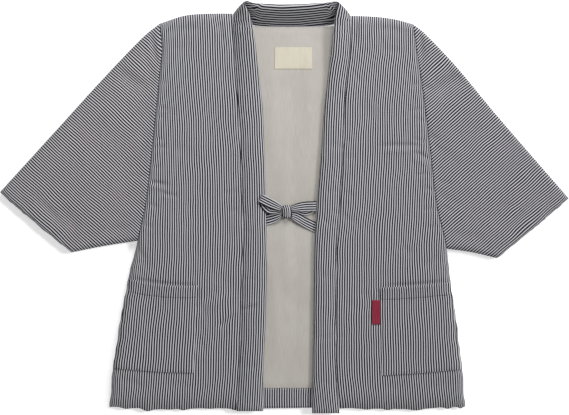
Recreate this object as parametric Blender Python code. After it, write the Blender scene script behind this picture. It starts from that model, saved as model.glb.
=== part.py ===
"""A padded hanten: a short quilted jacket with straight sleeves, laid flat on its back.

The jacket lies on the plane z = 0 with its front up, its collar towards +Y and its hem
towards -Y. "Left" and "right" are the viewer's, looking down on the front. Every size
below is in millimetres and is turned to metres when a mesh is made.

Each piece that is cut and sewn on is an object of its own: the back with its wadding,
the two fronts that fold over the shoulders, two sleeves that are flattened tubes, the
collar strip that runs from hem to hem round the neck, two patch pockets, the lining and
the turned-up hem where they show between the collars, the neck label, the pocket's tab
and the two tie strips knotted in a bow.
"""

from math import cos, exp, hypot, pi, radians, sin, sqrt
from typing import Callable, NamedTuple

import bmesh
import bpy
from mathutils import Vector

METRES = 0.001

# Layers, from the floor up
BACK_THICKNESS = 11.0
SEAM_GAP = 0.3
FRONT_BASE = BACK_THICKNESS + SEAM_GAP
FRONT_THICKNESS = 11.2
FRONT_TOP = FRONT_BASE + FRONT_THICKNESS
LINING_THICKNESS = 1.0
LINING_TOP = FRONT_BASE + LINING_THICKNESS
SLEEVE_HALF = 10.0
SLEEVE_WALL = 9.2
BORE_RECESS = 1.2
POCKET_THICKNESS = 2.0
LABEL_THICKNESS = 0.9
TAB_THICKNESS = 1.4

# How far in from an edge the wadding takes to reach its full height, and the share of
# that height that the edge itself keeps
FREE_REACH = 12.0
SEAM_REACH = 9.0
FREE_EDGE = 0.10
FOLD_EDGE = 0.04
COLLAR_SEAM_EDGE = 0.66
ARMHOLE_EDGE = 0.52
SLEEVE_HEAD_EDGE = 0.62
CUFF_EDGE = 0.60
SHOULDER_FOLD = 13.0
SHOULDER_STEP = 1.2
ARMPIT_BLEND = 24.0

# Rows of points: distances from an edge, and how many more lie between
EDGE_STOPS = (0.0, 1.2, 4.0, 8.0)
SHOULDER_STOPS = (0.0, 1.2, 3.5, 7.5, SHOULDER_FOLD, SHOULDER_FOLD + SHOULDER_STEP)
CUFF_STOPS = (0.0, 1.5, 5.0)
ROWS_BELOW_ARMPIT = 8
ROWS_ABOVE_ARMPIT = 11
FRONT_COLUMNS = 5
SLEEVE_COLUMNS = 11


class BodyRow(NamedTuple):
    """The front's seams at one height: x of each edge, from the left side to the right."""

    y: float
    side_left: float
    seam_left: float
    free_left: float
    free_right: float
    seam_right: float
    side_right: float


BODY_ROWS = (
    BodyRow(-381.0, -331.0, -91.0, -40.0, 52.0, 104.0, 341.5),
    BodyRow(-310.0, -326.0, -86.0, -40.0, 53.0, 98.0, 337.5),
    BodyRow(-222.0, -312.5, -82.0, -36.0, 55.0, 97.0, 326.5),
    BodyRow(-131.0, -296.0, -80.0, -33.5, 56.0, 98.0, 314.0),
    BodyRow(-72.0, -280.0, -78.5, -33.5, 57.0, 99.0, 305.5),
    BodyRow(4.0, -263.0, -79.5, -35.0, 61.0, 105.0, 287.5),
    BodyRow(104.0, -251.0, -82.5, -38.0, 69.5, 111.0, 275.5),
    BodyRow(190.0, -242.0, -87.5, -41.5, 75.5, 114.0, 265.0),
    BodyRow(255.0, -235.5, -92.0, -49.0, 83.5, 119.0, 256.0),
    BodyRow(300.0, -231.0, -94.5, -54.0, 89.0, 124.5, 249.0),
    BodyRow(346.0, -236.0, -98.0, -61.0, 94.0, 126.0, 243.0),
)


class Outline(NamedTuple):
    """What differs between the left and right half, beside the body rows."""

    sign: float
    side_column: str
    seam_column: str
    free_column: str
    armpit_y: float
    hem: tuple[tuple[float, float], ...]
    shoulder: tuple[tuple[float, float], ...]
    sleeve_fold: tuple[tuple[float, float], ...]
    underarm: tuple[tuple[float, float], ...]
    cuff: tuple[tuple[float, float], ...]
    collar_end_y: float


LEFT = Outline(
    sign=-1.0,
    side_column="side_left",
    seam_column="seam_left",
    free_column="free_left",
    armpit_y=-64.0,
    hem=((-91.0, -384.5), (-160.0, -384.5), (-240.0, -386.0), (-331.0, -381.0)),
    shoulder=((-98.5, 366.0), (-145.0, 366.0), (-190.0, 362.0), (-236.0, 347.0)),
    sleeve_fold=((-236.0, 347.0), (-266.0, 323.0), (-342.0, 244.0), (-433.0, 144.0), (-538.5, 28.0)),
    underarm=((-278.0, -64.0), (-342.0, -74.0), (-403.0, -86.0)),
    cuff=((-538.5, 28.0), (-503.0, -4.0), (-448.0, -49.0), (-403.0, -86.0)),
    collar_end_y=-386.0,
)
RIGHT = Outline(
    sign=1.0,
    side_column="side_right",
    seam_column="seam_right",
    free_column="free_right",
    armpit_y=-79.0,
    hem=((104.0, -384.0), (180.0, -385.0), (260.0, -384.5), (341.5, -380.5)),
    shoulder=((126.0, 362.0), (173.0, 360.0), (210.0, 355.0), (243.0, 346.0)),
    sleeve_fold=((243.0, 346.0), (264.0, 330.0), (325.0, 266.0), (401.0, 174.5), (538.0, 16.5)),
    underarm=((307.0, -79.0), (355.0, -86.0), (402.0, -97.0)),
    cuff=((538.0, 16.5), (507.0, -10.5), (461.0, -49.0), (402.0, -97.0)),
    collar_end_y=-390.0,
)

# The back stops below the shoulder folds; its neck is cut out between them
BACK_SHOULDER_INSET = SHOULDER_FOLD + SHOULDER_STEP + 0.5
BACK_HEM_INSET = 2.5
BACK_HEM_BLEND = 60.0
NECK_CUT = ((-84.0, 345.5), (-62.0, 342.4), (-28.0, 340.9), (10.0, 340.4), (50.0, 340.8), (88.0, 342.2),
            (110.0, 344.2))


class Crease(NamedTuple):
    """A soft trough in the upper cloth, from one end to the other; a ridge if depth < 0."""

    start: tuple[float, float]
    end: tuple[float, float]
    depth: float
    width: float


CREASES = (
    Crease((-322.0, 262.0), (-250.0, 214.0), 3.6, 13.0),
    Crease((345.0, 254.0), (270.0, 208.0), 3.6, 13.0),
    Crease((-430.0, 10.0), (-384.0, -52.0), 2.2, 12.0),
    Crease((424.0, 20.0), (392.0, -40.0), 2.0, 12.0),
    Crease((-252.0, 38.0), (-205.0, 30.0), 2.0, 11.0),
    Crease((150.0, 106.0), (268.0, 96.0), 1.8, 12.0),
    Crease((-160.0, 96.0), (-228.0, 120.0), 1.2, 13.0),
)


class CollarSection(NamedTuple):
    """A section of the collar strip round the neck: its sewn edge and its free edge."""

    seam: tuple[float, float, float]
    free: tuple[float, float, float]
    fullness: float


# Where the front strip is sewn and where its free edge lies, above the floor
COLLAR_SEAM_Z = 16.2
COLLAR_FREE_Z = 18.9
COLLAR_RISE_START_Y = 215.0
COLLAR_RISE_END_Y = 346.0
COLLAR_RISE = 13.0

# How much faster the strip thins on the inside of its folds than outside
INSIDE_PINCH = 1.7

# Round the left neck corner, along the back and round the right corner
NECK_SECTIONS = (
    CollarSection((-97.6, 351.0, 16.2), (-64.0, 358.0, 36.5), 0.90),
    CollarSection((-97.6, 358.5, 14.8), (-69.0, 370.5, 41.5), 0.76),
    CollarSection((-96.8, 363.4, 12.8), (-74.4, 380.0, 45.3), 0.52),
    CollarSection((-93.6, 364.8, 10.8), (-75.2, 387.0, 47.4), 0.38),
    CollarSection((-87.4, 359.8, 9.0), (-69.6, 388.6, 47.8), 0.44),
    CollarSection((-78.0, 352.4, 7.6), (-59.6, 386.4, 46.4), 0.66),
    CollarSection((-62.0, 346.0, 6.6), (-46.5, 382.2, 43.8), 0.90),
    CollarSection((-40.0, 343.8, 6.2), (-34.0, 380.4, 42.2), 1.0),
    CollarSection((-14.0, 343.1, 6.0), (-12.0, 379.6, 41.2), 1.0),
    CollarSection((14.0, 342.9, 6.0), (14.0, 379.8, 41.2), 1.0),
    CollarSection((42.0, 343.3, 6.0), (40.0, 381.2, 41.6), 1.0),
    CollarSection((70.0, 344.1, 6.2), (62.0, 382.6, 43.0), 1.0),
    CollarSection((90.0, 346.4, 6.8), (76.5, 384.6, 45.2), 0.90),
    CollarSection((105.0, 350.6, 7.6), (86.5, 386.8, 47.2), 0.66),
    CollarSection((114.8, 357.4, 9.2), (95.4, 388.0, 47.8), 0.44),
    CollarSection((121.0, 362.0, 11.0), (101.0, 386.4, 47.2), 0.38),
    CollarSection((124.2, 360.6, 12.8), (101.4, 379.4, 44.8), 0.52),
    CollarSection((125.1, 355.8, 14.8), (98.2, 369.6, 41.0), 0.76),
    CollarSection((125.2, 349.2, 16.2), (95.2, 357.5, 36.5), 0.90),
)


class CollarProfile(NamedTuple):
    """The collar's cut across: share of the way to the free edge, and half-heights."""

    across: float
    outer: float
    inner: float


COLLAR_PROFILE = (
    CollarProfile(0.0, 2.6, 2.4),
    CollarProfile(0.10, 5.4, 2.9),
    CollarProfile(0.30, 7.6, 3.8),
    CollarProfile(0.60, 7.3, 4.7),
    CollarProfile(0.84, 5.8, 4.9),
    CollarProfile(0.96, 3.2, 3.0),
)


class PocketCorners(NamedTuple):
    """A patch pocket's corners: on the side seam, and on the front."""

    top_side: tuple[float, float]
    top_inner: tuple[float, float]
    bottom_inner: tuple[float, float]
    bottom_side: tuple[float, float]


POCKET_LEFT = PocketCorners((-295.0, -136.0), (-164.0, -149.0), (-172.0, -313.0), (-325.5, -305.0))
POCKET_RIGHT = PocketCorners((314.5, -142.0), (181.0, -152.0), (184.0, -317.0), (335.0, -307.0))
POCKET_CLEARANCE = 0.55
POCKET_MOUTH_LIFT = 2.4
POCKET_BAND = 25.0
POCKET_BAND_STEP = 0.5

# Flat trimmings, each from its lower left to its upper right corner
LABEL_CORNERS = ((-19.0, 261.0), (52.0, 302.0))
TAB_CORNERS = ((165.5, -222.0), (181.0, -176.0))
FACING_TOP_Y = -343.0
FACING_BOTTOM_Y = -378.0
LINING_TOP_Y = 341.6
LINING_DIP = 1.6

KNOT_CENTRE = (4.0, -9.0, 21.5)
KNOT_HALF = (10.0, 13.0, 6.0)


class StripRow(NamedTuple):
    """One place on a tie: the strip's middle, its width and its thickness there."""

    x: float
    y: float
    z: float
    width: float
    thickness: float


TIE_LEFT_PATH: tuple[StripRow, ...] = (
    StripRow(-35.2, -24.4, 14.6, 20.0, 1.8),
    StripRow(-24.0, -22.0, 16.2, 20.0, 1.8),
    StripRow(-14.0, -18.6, 18.6, 18.0, 2.2),
    StripRow(-6.2, -15.2, 20.4, 12.0, 3.4),
)
TIE_RIGHT_PATH: tuple[StripRow, ...] = (
    StripRow(13.7, -16.4, 20.0, 12.0, 3.4),
    StripRow(24.0, -20.8, 18.4, 18.0, 2.2),
    StripRow(40.0, -29.6, 16.2, 20.0, 1.8),
    StripRow(59.5, -38.8, 14.6, 20.0, 1.8),
)
LOOP_LEFT_PATH: tuple[StripRow, ...] = (
    StripRow(-6.7, -2.8, 21.4, 11.0, 2.0),
    StripRow(-16.0, 1.4, 22.4, 15.0, 1.8),
    StripRow(-28.0, 7.6, 24.0, 18.0, 1.8),
    StripRow(-38.0, 12.6, 25.4, 18.0, 1.8),
    StripRow(-43.6, 15.4, 26.4, 17.6, 1.8),
    StripRow(-45.0, 16.1, 28.0, 17.0, 1.8),
    StripRow(-43.2, 15.2, 29.7, 17.6, 1.8),
    StripRow(-37.0, 12.1, 30.0, 18.0, 1.8),
    StripRow(-27.0, 7.1, 28.9, 18.0, 1.8),
    StripRow(-15.4, 1.4, 26.6, 15.0, 1.8),
    StripRow(-6.4, -2.6, 24.4, 11.0, 2.0),
)
LOOP_RIGHT_PATH: tuple[StripRow, ...] = (
    StripRow(13.7, -3.0, 19.4, 11.0, 2.0),
    StripRow(24.0, -0.4, 17.6, 15.0, 1.8),
    StripRow(38.0, 1.0, 16.2, 18.0, 1.8),
    StripRow(52.0, 1.8, 15.6, 18.0, 1.8),
    StripRow(57.4, 2.0, 16.2, 18.0, 1.8),
    StripRow(59.1, 2.1, 18.0, 17.6, 1.8),
    StripRow(57.6, 2.0, 20.2, 18.0, 1.8),
    StripRow(52.0, 1.8, 21.6, 18.0, 1.8),
    StripRow(38.0, 1.2, 22.8, 18.0, 1.8),
    StripRow(24.0, -0.6, 24.0, 15.0, 1.8),
    StripRow(13.8, -3.0, 23.8, 11.0, 2.0),
)
STEPS_BETWEEN_STRIP_ROWS = 2
STEPS_BETWEEN_NECK_SECTIONS = 2

Track = Callable[[float], Vector]
Ring = list[Vector]


def clear_scene() -> None:
    """Remove every object that the scene starts with."""
    for item in list(bpy.data.objects):
        bpy.data.objects.remove(item, do_unlink=True)


def new_material(name: str, colour: tuple[float, float, float], roughness: float) -> bpy.types.Material:
    """Return a Principled material of one linear colour."""
    material = bpy.data.materials.new(name)
    material.use_nodes = True
    shader = material.node_tree.nodes["Principled BSDF"]
    shader.inputs["Base Color"].default_value = (*colour, 1.0)
    shader.inputs["Roughness"].default_value = roughness
    shader.inputs["Metallic"].default_value = 0.0
    return material


def track(points: list[Vector], keys: list[float] | None = None) -> Track:
    """Return a smooth curve through the points.

    Args:
        points: The points that it runs through, in order.
        keys: The rising parameter of each point; by default its share of the length.

    Returns:
        A function from the parameter to the point there.
    """
    if keys is None:
        lengths = [0.0]
        for before, after in zip(points, points[1:]):
            lengths.append(lengths[-1] + (after - before).length)
        keys = [length / lengths[-1] for length in lengths]
    slopes = []
    last = len(points) - 1
    for index in range(last + 1):
        low, high = max(index - 1, 0), min(index + 1, last)
        slopes.append((points[high] - points[low]) / (keys[high] - keys[low]))

    def at(parameter: float) -> Vector:
        """Return the point at one parameter, on a cubic between its two neighbours."""
        index = 0
        while index < last - 1 and parameter > keys[index + 1]:
            index += 1
        span = keys[index + 1] - keys[index]
        t = (parameter - keys[index]) / span
        return (
            points[index] * (2 * t**3 - 3 * t**2 + 1)
            + slopes[index] * span * (t**3 - 2 * t**2 + t)
            + points[index + 1] * (3 * t**2 - 2 * t**3)
            + slopes[index + 1] * span * (t**3 - t**2)
        )

    return at


def plan_track(points: tuple[tuple[float, float], ...]) -> Track:
    """Return a smooth curve through flat points."""
    return track([Vector(point) for point in points])


def rounded(distance: float, reach: float, edge: float) -> float:
    """Return the share of the full height that wadding has at a distance from an edge.

    Args:
        distance: How far in from the edge, in millimetres.
        reach: Where the full height is reached.
        edge: The share that the edge itself keeps.
    """
    inward = min(max(distance / reach, 0.0), 1.0)
    return edge + (1.0 - edge) * sqrt(1.0 - (1.0 - inward) ** 2)


def eased(value: float) -> float:
    """Return a soft step from 0 to 1 as the value goes from 0 to 1."""
    clamped = min(max(value, 0.0), 1.0)
    return clamped * clamped * (3.0 - 2.0 * clamped)


def crease_depth(place: Vector) -> float:
    """Return how deep the creases press the upper cloth at a place."""
    depth = 0.0
    for crease in CREASES:
        start = Vector(crease.start)
        run = Vector(crease.end) - start
        along = (place - start).dot(run) / run.length_squared
        off = abs((place - start).cross(run)) / run.length
        fade = eased(1.0 - abs(2.0 * along - 1.0)) if 0.0 < along < 1.0 else 0.0
        depth += crease.depth * fade * exp(-((off / crease.width) ** 2))
    return depth


def stops(length: float, first: tuple[float, ...], last: tuple[float, ...], between: int) -> list[float]:
    """Return rising shares of a length.

    Args:
        length: The length that the shares divide.
        first: Distances from its start.
        last: Distances from its end, nearest first.
        between: How many evenly spaced stops lie between the two groups.
    """
    low, high = first[-1], length - last[-1]
    middle = [low + (high - low) * step / (between + 1) for step in range(1, between + 1)]
    distances = [*first, *middle, *(length - stop for stop in reversed(last))]
    return [distance / length for distance in distances]


def skin(bm: bmesh.types.BMesh, rings: list[list[bmesh.types.BMVert]]) -> None:
    """Join each ring of vertices to the next with a band of faces."""
    for near, far in zip(rings, rings[1:]):
        for index in range(len(near)):
            after = (index + 1) % len(near)
            bm.faces.new((near[index], near[after], far[after], far[index]))


def loft(rings: list[Ring], bore: list[Ring] | None = None) -> bmesh.types.BMesh:
    """Return a closed body skinned over rings of unlike shape.

    Args:
        rings: The outer rings, all with one number of points.
        bore: Rings of the same number of points round a passage from end to end.

    Returns:
        A mesh with closed ends, or with the passage open at both ends.
    """
    bm = bmesh.new()
    outer = [[bm.verts.new(point) for point in ring] for ring in rings]
    skin(bm, outer)
    if bore:
        inner = [[bm.verts.new(point) for point in ring] for ring in bore]
        skin(bm, inner)
        skin(bm, [outer[0], inner[0]])
        skin(bm, [outer[-1], inner[-1]])
    else:
        bm.faces.new(outer[0])
        bm.faces.new(outer[-1])
    return bm


def add_piece(
    name: str,
    bm: bmesh.types.BMesh,
    material: bpy.types.Material,
    collection: bpy.types.Collection,
    parent: bpy.types.Object,
) -> bpy.types.Object:
    """Turn a mesh in millimetres into a named object of the jacket."""
    bmesh.ops.scale(bm, vec=(METRES, METRES, METRES), verts=bm.verts)
    bmesh.ops.triangulate(bm, faces=[face for face in bm.faces if len(face.verts) > 3])
    bmesh.ops.recalc_face_normals(bm, faces=bm.faces)
    mesh = bpy.data.meshes.new(name)
    bm.to_mesh(mesh)
    bm.free()
    mesh.shade_smooth()
    mesh.set_sharp_from_angle(angle=radians(50.0))
    mesh.materials.append(material)
    piece = bpy.data.objects.new(name, mesh)
    collection.objects.link(piece)
    piece.parent = parent
    return piece


class Patch:
    """A flat four-sided panel whose inner points are blended from its four edges."""

    def __init__(self, start: Track, end: Track, near: Track, far: Track) -> None:
        """Keep the edges: start and end run along the panel, near and far run across it."""
        self.start = start
        self.end = end
        self.near = near
        self.far = far

    def at(self, across: float, along: float) -> Vector:
        """Return the flat point at two shares, across from start and along from near."""
        sides = self.start(along).lerp(self.end(along), across)
        ends = self.near(across).lerp(self.far(across), along)
        low = self.start(0.0).lerp(self.end(0.0), across)
        high = self.start(1.0).lerp(self.end(1.0), across)
        return sides + ends - low.lerp(high, along)


class Half:
    """One half of the jacket's front: its outline, its rows and the heights on it."""

    def __init__(self, outline: Outline) -> None:
        """Work out the four edges and the rows of points from an outline."""
        self.outline = outline
        rows = BODY_ROWS[1:-1]
        hem_in, hem_out = Vector(outline.hem[0]), Vector(outline.hem[-1])
        tip_in, tip_out = Vector(outline.shoulder[0]), Vector(outline.shoulder[-1])
        seam = [Vector((getattr(row, outline.seam_column), row.y)) for row in rows]
        side = [Vector((getattr(row, outline.side_column), row.y)) for row in rows]
        seam = [hem_in, *seam, tip_in]
        side = [hem_out, *side, tip_out]
        self.bottom, self.top = hem_out.y, tip_out.y
        self.height = self.top - self.bottom
        shares = [(point.y - self.bottom) / self.height for point in side]
        shares[0], shares[-1] = 0.0, 1.0
        self.seam = track(seam, [0.0, *shares[1:-1], 1.0])
        self.side = track(side, shares)
        self.free = track([Vector((getattr(row, outline.free_column), row.y)) for row in BODY_ROWS],
                          [row.y for row in BODY_ROWS])
        self.hem = plan_track(outline.hem)
        self.shoulder = plan_track(outline.shoulder)
        self.patch = Patch(self.seam, self.side, self.hem, self.shoulder)
        self.armpit = (outline.armpit_y - self.bottom) / self.height
        below = stops(self.armpit * self.height, EDGE_STOPS, (0.0,), ROWS_BELOW_ARMPIT)
        above = stops((1.0 - self.armpit) * self.height, (0.0,), SHOULDER_STOPS, ROWS_ABOVE_ARMPIT)
        self.rows = [share * self.armpit for share in below]
        self.rows += [self.armpit + share * (1.0 - self.armpit) for share in above[1:]]

    def side_edge(self, along: float) -> tuple[float, float]:
        """Return the side's reach and edge share, from side seam to armhole."""
        above = eased(0.5 + (along - self.armpit) * self.height / ARMPIT_BLEND)
        reach = FREE_REACH + (SEAM_REACH - FREE_REACH) * above
        return reach, FREE_EDGE + (ARMHOLE_EDGE - FREE_EDGE) * above

    def width(self, along: float) -> float:
        """Return the panel's width at a share of its height."""
        return (self.side(along) - self.seam(along)).length

    def seam_at(self, y: float) -> Vector:
        """Return the point of the collar seam at a height, found by halving its rows."""
        low, high = 0.0, 1.0
        for _ in range(24):
            middle = 0.5 * (low + high)
            low, high = (middle, high) if self.seam(middle).y < y else (low, middle)
        return self.seam(low)

    def columns(self, along: float) -> list[float]:
        """Return the shares across a row, a seam gap clear of both its ends."""
        width = self.width(along)
        shares = stops(width, EDGE_STOPS, EDGE_STOPS, FRONT_COLUMNS)
        shares[0], shares[-1] = 0.5 * SEAM_GAP / width, 1.0 - 0.5 * SEAM_GAP / width
        return shares

    def front_top(self, across: float, along: float) -> float:
        """Return the height of the front's upper face, above the floor."""
        width = self.width(along)
        reach, edge = self.side_edge(along)
        share = rounded(across * width, SEAM_REACH, COLLAR_SEAM_EDGE)
        share *= rounded((1.0 - across) * width, reach, edge)
        share *= rounded(along * self.height, FREE_REACH, FREE_EDGE)
        share *= rounded((1.0 - along) * self.height, SHOULDER_FOLD, FOLD_EDGE)
        dent = crease_depth(self.patch.at(across, along)) * eased((1.0 - across) * width / 20.0)
        return FRONT_BASE + FRONT_THICKNESS * share - dent

    def front_bottom(self, across: float, along: float) -> float:
        """Return the height of the front's lower face, which reaches the floor in the fold."""
        from_fold = (1.0 - along) * self.height
        if from_fold > SHOULDER_FOLD + 0.5 * SHOULDER_STEP:
            return FRONT_BASE
        width = self.width(along)
        reach, edge = self.side_edge(along)
        share = rounded((1.0 - across) * width, reach, edge) * rounded(from_fold, SHOULDER_FOLD, FOLD_EDGE)
        return BACK_THICKNESS * (1.0 - share)

    def across_of(self, place: Vector, along: float) -> float:
        """Return the share across the panel at which a row passes nearest to a place."""
        start, end = self.seam(along), self.side(along)
        return (place - start).dot(end - start) / (end - start).length_squared


def build_front(half: Half) -> bmesh.types.BMesh:
    """Return a front: one padded layer that folds over the shoulder down to the floor."""
    rings = []
    for along in half.rows:
        shares = half.columns(along)
        lower = [shares[-1], *shares[-3:3:-1], shares[0]]
        top = [half.patch.at(share, along).to_3d() for share in shares]
        bottom = [half.patch.at(share, along).to_3d() for share in lower]
        for point, share in zip(top, shares):
            point.z = half.front_top(share, along)
        for point, share in zip(bottom, lower):
            point.z = half.front_bottom(share, along)
        rings.append(top + bottom)
    return loft(rings)


def back_rows(half: Half) -> list[float]:
    """Return the rows of one half that the back has too, up to its edge below the fold."""
    last = 1.0 - BACK_SHOULDER_INSET / half.height
    return [row for row in half.rows if row < last] + [last]


def back_half_row(half: Half, along: float) -> list[Vector]:
    """Return the back's lower points under one row of a front, from the seam to the side."""
    reach, edge = half.side_edge(along)
    width = half.width(along)
    points = []
    for share in half.columns(along):
        place = half.patch.at(share, along)
        full = rounded((1.0 - share) * width, reach, edge)
        full *= rounded(along * half.height, FREE_REACH, FREE_EDGE)
        rise = BACK_HEM_INSET * max(1.0 - along * half.height / BACK_HEM_BLEND, 0.0)
        points.append(Vector((place.x, place.y + rise, BACK_THICKNESS * (1.0 - full))))
    return points


def build_back(left: Half, right: Half) -> bmesh.types.BMesh:
    """Return the back: one padded layer with a flat underside, cut out at the neck."""
    neck = [Vector(point) for point in NECK_CUT]
    top_start = back_half_row(left, back_rows(left)[-1])[0]
    top_end = back_half_row(right, back_rows(right)[-1])[0]
    rings = []
    for left_along, right_along in zip(back_rows(left), back_rows(right)):
        left_row, right_row = back_half_row(left, left_along), back_half_row(right, right_along)
        start, end = left_row[0], right_row[0]
        middle = []
        for cut in neck:
            share = (cut.x - top_start.x) / (top_end.x - top_start.x)
            point = start.lerp(end, share)
            rise = eased((0.5 * (left_along + right_along) - 0.5) / 0.5)
            point.y += (cut.y - top_start.lerp(top_end, share).y) * rise
            middle.append(point)
        lower = left_row[::-1] + middle + right_row
        ends_left, ends_right = left_row[::-1][:8], right_row[-8:]
        upper = [*ends_left[::4], left_row[0], *middle, right_row[0], *ends_right[3::4]]
        rings.append(lower + [Vector((point.x, point.y, BACK_THICKNESS)) for point in reversed(upper)])
    return loft(rings)


def build_sleeve(half: Half) -> bmesh.types.BMesh:
    """Return a sleeve: a tube of padded cloth pressed flat, open at armhole and cuff."""
    outline = half.outline
    fold, underarm = plan_track(outline.sleeve_fold), plan_track(outline.underarm)
    cuff = plan_track(outline.cuff)

    def armhole(share: float) -> Vector:
        """Return the point just outside the armhole seam, from the fold to the armpit."""
        return half.side(1.0 - share * (1.0 - half.armpit)) + Vector((outline.sign * 0.5 * SEAM_GAP, 0.0))

    patch = Patch(fold, underarm, armhole, cuff)
    depth = (armhole(1.0) - armhole(0.0)).length
    fold_length = (fold(1.0) - fold(0.0)).length
    upper = [(1.0 - row) / (1.0 - half.armpit) for row in half.rows if row >= half.armpit]
    across = sorted(share for share in upper if share < 1.0 - 12.0 / depth)
    across += [1.0 - stop / depth for stop in reversed(EDGE_STOPS)]
    lengthwise = stops(fold_length, (0.0, 2.5, 8.0), CUFF_STOPS, SLEEVE_COLUMNS)
    rings, bore = [], []
    for along in lengthwise:
        span = (patch.at(1.0, along) - patch.at(0.0, along)).length
        head = rounded(along * fold_length, SEAM_REACH, SLEEVE_HEAD_EDGE)
        mouth = rounded((1.0 - along) * fold_length, SEAM_REACH, CUFF_EDGE)
        top, bottom = [], []
        for share in across:
            place = patch.at(share, along)
            full = head * mouth * rounded(share * span, SLEEVE_HALF, FOLD_EDGE)
            full *= rounded((1.0 - share) * span, SLEEVE_HALF, FOLD_EDGE)
            dent = crease_depth(place) * eased(share * span / 20.0)
            top.append(Vector((place.x, place.y, SLEEVE_HALF * (1.0 + full) - dent)))
            bottom.append(Vector((place.x, place.y, SLEEVE_HALF * (1.0 - full))))
        rings.append(top + bottom[::-1])
    half_slit = SLEEVE_HALF - SLEEVE_WALL
    for along in stops(fold_length, (BORE_RECESS,), (BORE_RECESS,), 3):
        bore.append(bore_ring(patch, along, across, half_slit))
    return loft(rings, bore)


def bore_ring(patch: Patch, along: float, across: list[float], half_slit: float) -> Ring:
    """Return the ring round the sleeve's inside: a slit that stops a wall short of each fold."""
    span = (patch.at(1.0, along) - patch.at(0.0, along)).length
    inset = SLEEVE_WALL / span
    shares = [inset + (1.0 - 2.0 * inset) * share for share in across]
    places = [patch.at(share, along) for share in shares]
    top = [Vector((place.x, place.y, SLEEVE_HALF + half_slit)) for place in places]
    bottom = [Vector((place.x, place.y, SLEEVE_HALF - half_slit)) for place in places]
    return top + bottom[::-1]


def collar_front_section(half: Half, along: float) -> CollarSection:
    """Return the collar's section beside a row of the front."""
    seam = half.seam(along)
    free = half.free(seam.y)
    rise = eased((seam.y - COLLAR_RISE_START_Y) / (COLLAR_RISE_END_Y - COLLAR_RISE_START_Y))
    inward = -half.outline.sign * 0.5 * SEAM_GAP
    return CollarSection(
        (seam.x + inward, seam.y, COLLAR_SEAM_Z),
        (free.x, seam.y, COLLAR_FREE_Z + COLLAR_RISE * rise),
        1.0,
    )


def collar_front_sections(half: Half) -> list[CollarSection]:
    """Return the collar's sections up one front, from its rounded end at the hem."""
    sections = []
    end_y = half.outline.collar_end_y
    hem_row = collar_front_section(half, 0.0)
    for step, fullness in ((0.0, 0.35), (1.2, 0.62), (4.0, 0.90)):
        y = end_y + step
        sections.append(CollarSection(
            (hem_row.seam[0], y, hem_row.seam[2]), (hem_row.free[0], y, hem_row.free[2]), fullness))
    for along in half.rows:
        y = half.seam(along).y
        if end_y + 7.0 < y < COLLAR_RISE_END_Y + 1.0:
            sections.append(collar_front_section(half, along))
    return sections


def refine(sections: tuple[CollarSection, ...], steps: int) -> list[CollarSection]:
    """Return sections with smooth ones added between each pair."""
    keys = [float(index) for index in range(len(sections))]
    seams = track([Vector(section.seam) for section in sections], keys)
    frees = track([Vector(section.free) for section in sections], keys)
    fulls = track([Vector((section.fullness, 0.0)) for section in sections], keys)
    count = (len(sections) - 1) * steps
    places = [index / steps for index in range(count + 1)]
    return [CollarSection(tuple(seams(key)), tuple(frees(key)), fulls(key).x) for key in places]


def build_collar(left: Half, right: Half) -> bmesh.types.BMesh:
    """Return the collar: one folded, padded strip from hem to hem that stands at the neck."""
    neck = refine(NECK_SECTIONS, STEPS_BETWEEN_NECK_SECTIONS)
    sections = collar_front_sections(left) + neck + collar_front_sections(right)[::-1]
    middles = [(Vector(section.seam) + Vector(section.free)) / 2.0 for section in sections]
    rings = []

    def clear_of_fronts(point: Vector) -> Vector:
        """Return the point, moved in where it would reach past the fronts' seam edge."""
        half = left if point.x < 0.0 else right
        limit = abs(half.seam_at(point.y).x) - 0.5 * SEAM_GAP
        return Vector((min(max(point.x, -limit), limit), point.y, point.z))

    for index, section in enumerate(sections):
        before, after = middles[max(index - 1, 0)], middles[min(index + 1, len(middles) - 1)]
        seam, free = Vector(section.seam), Vector(section.free)
        outward = (free - seam).cross(after - before).normalized()
        outer, inner = [], []
        for cut in COLLAR_PROFILE:
            place = seam.lerp(free, cut.across)
            outer.append(clear_of_fronts(place + outward * cut.outer * section.fullness))
            inner.append(clear_of_fronts(place - outward * cut.inner * section.fullness**INSIDE_PINCH))
        rings.append(outer + [free] + inner[::-1])
    return loft(rings)


def build_pocket(half: Half, corners: PocketCorners) -> bmesh.types.BMesh:
    """Return a patch pocket laid over the front, its mouth a little open."""
    side = track([Vector(corners.top_side), Vector(corners.bottom_side)])
    inner = track([Vector(corners.top_inner), Vector(corners.bottom_inner)])
    depth = (inner(1.0) - inner(0.0)).length
    rings = []
    for along in stops(depth, (0.0, 1.5, POCKET_BAND - 1.0, POCKET_BAND + 1.0), (0.0, 1.5), 3):
        lower, upper = [], []
        start, end = inner(along), side(along)
        width = (end - start).length
        mouth = eased(1.0 - along * depth / (2.0 * POCKET_BAND))
        band = POCKET_BAND_STEP if along * depth < POCKET_BAND else 0.0
        for share in stops(width, (0.0, 1.5), EDGE_STOPS, 4):
            place = start.lerp(end, share)
            row = (place.y - half.bottom) / half.height
            across = min(half.across_of(place, row), 1.0 - 0.6 * SEAM_GAP / half.width(row))
            spot = half.patch.at(across, row)
            lift = POCKET_MOUTH_LIFT * mouth * (4.0 * share * (1.0 - share))
            base = half.front_top(across, row) + POCKET_CLEARANCE + lift
            thin = rounded(share * width, 3.0, 0.5) * rounded(along * depth, 3.0, 0.6)
            thin *= rounded((1.0 - along) * depth, 3.0, 0.5)
            lower.append(Vector((spot.x, spot.y, base)))
            upper.append(Vector((spot.x, spot.y, base + (POCKET_THICKNESS + band) * thin)))
        rings.append(upper + lower[::-1])
    return loft(rings)


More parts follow.
